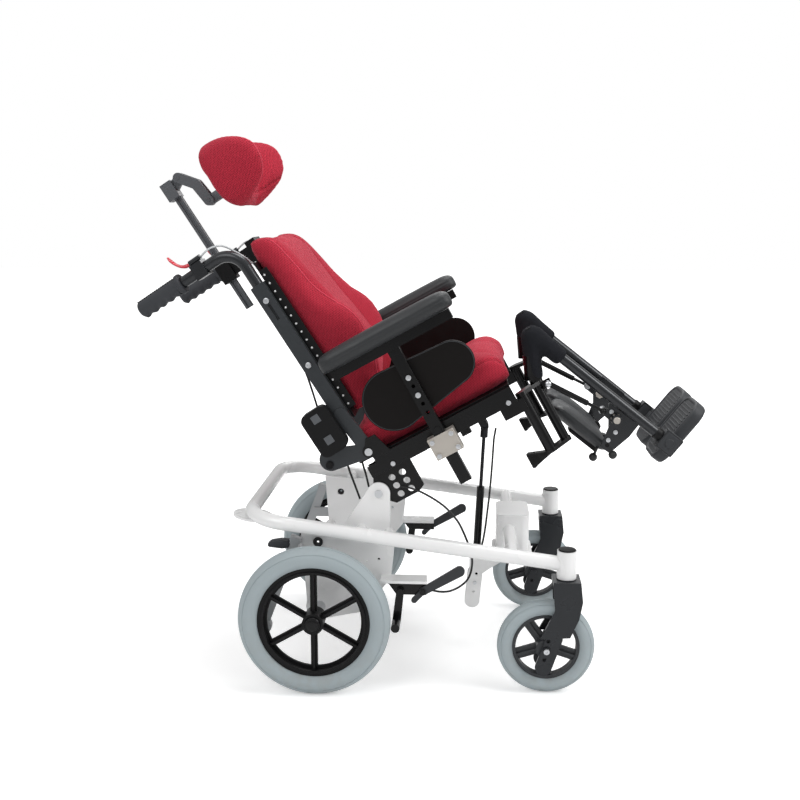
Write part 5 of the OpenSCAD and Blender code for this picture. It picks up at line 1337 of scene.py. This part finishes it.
def blade(where, knots, widths, thicks, steps=30):
    """A curved lever: oval sections along a line in the frame's XZ plane."""
    line = smooth_line([(x * MM, 0, z * MM) for x, z in knots], steps)
    loops = []
    for i, point in enumerate(line):
        ahead = (line[min(i + 1, steps - 1)] - line[max(i - 1, 0)]).normalized()
        over = ahead.cross(OUT)
        wide, thick = (float(np.interp(i / (steps - 1), np.linspace(0, 1, len(row)), row)) * MM
                       for row in (widths, thicks))
        loops.append([where @ (point + OUT * (bulge(math.cos(a), 0.7) * wide) + over * (math.sin(a) * thick))
                      for a in circle(24)])
    return loft(loops)


def add_levers():
    knots = [(-98.5, 68.4), (-103, 68), (-110, 69.6), (-118, 75), (-124, 83), (-128.5, 93), (-131, 104)]
    mesh = blade(GRIP, knots, (4.2, 5.4, 4.9, 4.8, 5.4, 6.6, 6.4, 3.4), (3.4, 4.2, 3.2, 2.8, 2.6, 2.7, 2.6, 1.6))
    for name, skin in (("tilt_lever", mirrored(mesh)), ("recline_lever", mesh)):
        add_piece(f"{name}_blade", skin, "red_plastic", name, [name])


def add_latch_handles():
    outline = [(305.5, -103.7), (311, -105.4), (337, -94.2), (346, -92), (346, -84.6), (337, -83.4), (311, -72.6),
               (305.5, -74.2)]
    shell = slab(SEAT, outline, 175.2, 194.8, 1.6)
    faces = [(k, face, y) for k in range(6) for face, y in ((1, 194.9), (-1, 175.1))]
    spots = [place(SEAT, 309.5 + 3.6 * k, y, -89) for k, _, y in faces]
    aims = [OUT * face for _, face, _ in faces]
    ribs = rib_row(spots, aims, SEAT.to_3x3() @ Vector((0, 0, 1)), 18, 1.3, 1.5, "black_plastic")
    add_pair("latch_handle", joined([shell, ribs]), "black_plastic", "leg_hanger")


def add_wheel_caps():
    dome = turned(BASE, REAR_HUB, [(0.1, 302), (17, 302), (17, 306.4), (15.6, 309), (12.4, 310.9), (7, 312),
                                    (0.1, 312.3)], 48)
    add_pair("rear_hub_cap", dome, "black_enamel", "rear_wheel")
    plug = turned(BASE, (0, 302), [(2.4, 204), (7.6, 204), (7.6, 207.4), (10.4, 207.4), (10.6, 208.2), (9.4, 209.4),
                                   (6.6, 210), (3.4, 208.6), (2.4, 207.2)], 36)
    add_piece("bore_grommets", both_sides(plug), "cable_black", "base")
    pedal = slab(BASE, [(-104, 296), (-101, 293), (-74, 290), (-60, 292), (-57, 300), (-60, 308), (-76, 309.5),
                        (-96, 306), (-103, 301)], 203, 224, 3)
    add_piece("tipping_pedal", mirrored(pedal), "grip_rubber", "base")


def add_head_caps():
    profile = [(0.01, 299), (13.4, 299), (13.4, 304.4), (17.6, 305.2), (18.2, 306.4), (16.8, 308), (9, 309.2),
               (0.01, 309.6)]
    cap = loft([[place(BASE, 514 + r * math.cos(a), 240 + r * math.sin(a), z) for a in circle(40)]
                for r, z in profile])
    add_piece("head_tube_caps", both_sides(cap), "black_plastic", "base")


def add_calf_hardware():
    for side, sign in SIDES.items():
        spots = [place(KNEE, p, sign * 149, q) for p, q in ((270, -52), (269, -74), (236, -24))]
        add_screws(f"calf_plate_screws_{side}", spots, OUT * sign, f"leg_{side}", "grey_tube", 4.6, 3.2)
    profile = [(0.01, -9.4), (3.8, -8.6), (6.9, -6.1), (8.8, -2.3), (8.8, 2.3), (6.9, 6.1), (3.8, 8.6), (0.01, 9.4)]
    for name, low, high, at, body, slot in (
            ("calf_ball_knob", (270, 112, -104), (275, 112, -120), (276.5, 112, -125.5), "calf", "foot_plastic"),
            ("leg_ball_knob", (280, 147, -84), (292, 147, -90), (297, 147, -92.5), "leg", "grey_tube")):
        stem = rod(KNEE, [low, high], 3, 16)
        ball = turned(KNEE, at[::2], [(r, at[1] + d) for r, d in profile], 28)
        add_pair(name, joined([ball, stem]), "cable_black", body)
    ball_seat = turned(KNEE, (219.5, -33), [(0.01, 144.6), (6.2, 144.6), (8.2, 147), (8.4, 150), (5.4, 152.4),
                                            (0.01, 152.4)], 28)
    add_pair("strut_ball_seat", ball_seat, "zinc_plate", "leg")
    dome = [(0.01, 0), (5.6, 0), (7, 1.8), (7.3, 4), (6.4, 6.4), (3.6, 8.2), (0.01, 8.8)]
    heads = [turned(SEAT, (413, 33), [(r, 166.5 + d) for r, d in dome], 28),
             turned(SEAT, (413, 33), [(r, 149.5 - d) for r, d in reversed(dome)], 28)]
    add_pair("strut_top_balls", joined(heads), "zinc_plate", "leg_hanger")


# Screws, squares and trim


def add_fasteners():
    for side, sign in SIDES.items():
        def at(where, places):
            return [place(where, x, sign * y, z) for x, y, z in places]

        corners = [(177 + sx * 21.5, 246.8, 34.5 + sz * 15.5) for sx in (-1, 1) for sz in (-1, 1)]
        for name, spots, body, slot, radius, height, more in (
                ("receiver_screws", at(SEAT, corners), "seat", "receiver_silver", 5.2, 1.6, {}),
                ("guard_screws", at(SEAT, [(177, 241.9, 68 + 20 * k) for k in (4, 6)]), f"armrest_{side}",
                 "black_enamel", 5.6, 1.5, {}),
                ("post_screws", at(BACK, [(-8, 203, q) for q in (215, 370)]), "back", "black_enamel", 6.0, 5.0,
                 dict(key=0.2, depth=1.0)),
                ("caster_axle_screw", at(BASE, [(CASTER_HUB[0], 274, CASTER_HUB[1])]), f"caster_{side}",
                 "black_enamel", 6.0, 3.0, {}),
                ("shell_rivets", at(BACK, [(14, 184, 104 + 19.5 * k) for k in range(17)]), "back", "black_plastic",
                 2.1, 1.0, dict(finish="white_enamel", sides=14, key=0.1, depth=0.1))):
            add_screws(f"{name}_{side}", spots, OUT * sign, body, slot, radius, height, **more)


def add_guard_binding():
    """A thin lip round the edge of each side guard."""
    outline = pill((125, 160), 64, (266, 170), 46, 60)
    for side, sign in SIDES.items():
        line = [place(SEAT, x, sign * 217.75, z) for x, z in inset(outline, 2.2)]
        loops = []
        for i, point in enumerate(line):
            ahead = (line[(i + 1) % len(line)] - line[i - 1]).normalized()
            cross = ahead.cross(OUT)
            loops.append([point + (cross * math.cos(a) + OUT * 0.45 * math.sin(a)) * MM for a in circle(8)])
        add_piece(f"guard_binding_{side}", loft(loops, ring=True), "foot_plastic", f"armrest_{side}")


def add_cover_squares():
    squares = [rounded_box(BACK, (-59.6, 231.4, q - 8.6), (-42.4, 233.6, q + 8.6), 0.9) for q in (66, 116)]
    add_piece("cover_squares", both_sides(joined(squares)), "arm_grey", "back")


# Cables


def cable(name, line, diameter, finish, body=None, blend=None):
    """A cable between two of the chair's own fittings; when blend is given, the cable's transform is baked into its
    mesh, and the two bodies and points that blend names are not used.
    """
    mesh = tube(line, diameter / 2 * MM, 10, OUT)
    piece = add_piece(name, mesh, finish, body, crease=180)
    if blend:
        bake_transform(piece)


def base_line(knots, steps=44):
    return smooth_line([place(BASE, *knot) for knot in knots], steps)


def flat_line(y, knots, steps=44):
    """A smooth line at one distance from the middle, through (x, z) pairs from the rear axle."""
    return base_line([(x, y, z) for x, z in knots], steps)


def add_cables():
    bow = [(-77.5, 179.5, 517), (-62, 179, 520.5), (-46, 177, 520), (-28, 172, 511), (-14, 160, 487), (-4, 150, 462),
           (2, 142, 440), (3, 136, 424)]
    for side, sign in SIDES.items():
        line = smooth_line([place(BACK, x, sign * y, z) for x, y, z in bow], 44)
        cable(f"lever_cable_{side}", line, 4.0, "cable_silver", blend=("back", "handles", 43, 6))
    post = [(-36, 691), (-31, 684), (-24, 666), (-17, 647), (-10, 625), (-3, 602), (2, 585)]
    for side, sign in SIDES.items():
        cable(f"post_cable_{side}", flat_line(200 * sign, post), 4.5, "cable_black", "back")
    loop = flat_line(-195, [(171, 421), (192, 418), (214, 410), (240, 396), (264, 379), (282, 360), (296, 340),
                            (311, 306), (318, 285), (322, 265), (320, 241), (312, 221), (296, 206), (276, 196),
                            (256, 194), (238, 197)], 60)
    spring = base_line([(371, -20, 511), (369, -20, 498), (367, -20, 484), (364, -20, 428), (360, -20, 370),
                        (355, -20, 320), (350, -20, 276), (345, -17, 246), (339, -7, 226)])
    rear = flat_line(-170, [(46, 497), (56, 470), (64, 444), (75, 414), (85, 386)])
    front = flat_line(-150, [(88, 461), (92, 447), (96, 433), (99, 420), (102, 407)])
    for name, line, last in (("tilt_cable", loop, 26), ("spring_cable", spring, 36), ("seat_cable_rear", rear, 34),
                             ("seat_cable_front", front, 34)):
        cable(name, line, 4.5, "cable_black", blend=("seat", "base", 4, last))


set_camera()
set_room()
for lamp_row in LAMPS:
    add_lamp(*lamp_row)
dress_frame()
add_seat_cushion()
add_back_cushion()
add_headrest()
add_arm_pads()
add_calf_pads()
add_knee_sleeves()
add_tyres()
add_grips()
add_footplates()
add_leg_fittings()
add_levers()
add_latch_handles()
add_wheel_caps()
add_calf_hardware()
add_head_caps()
add_fasteners()
add_guard_binding()
add_cover_squares()
add_cables()
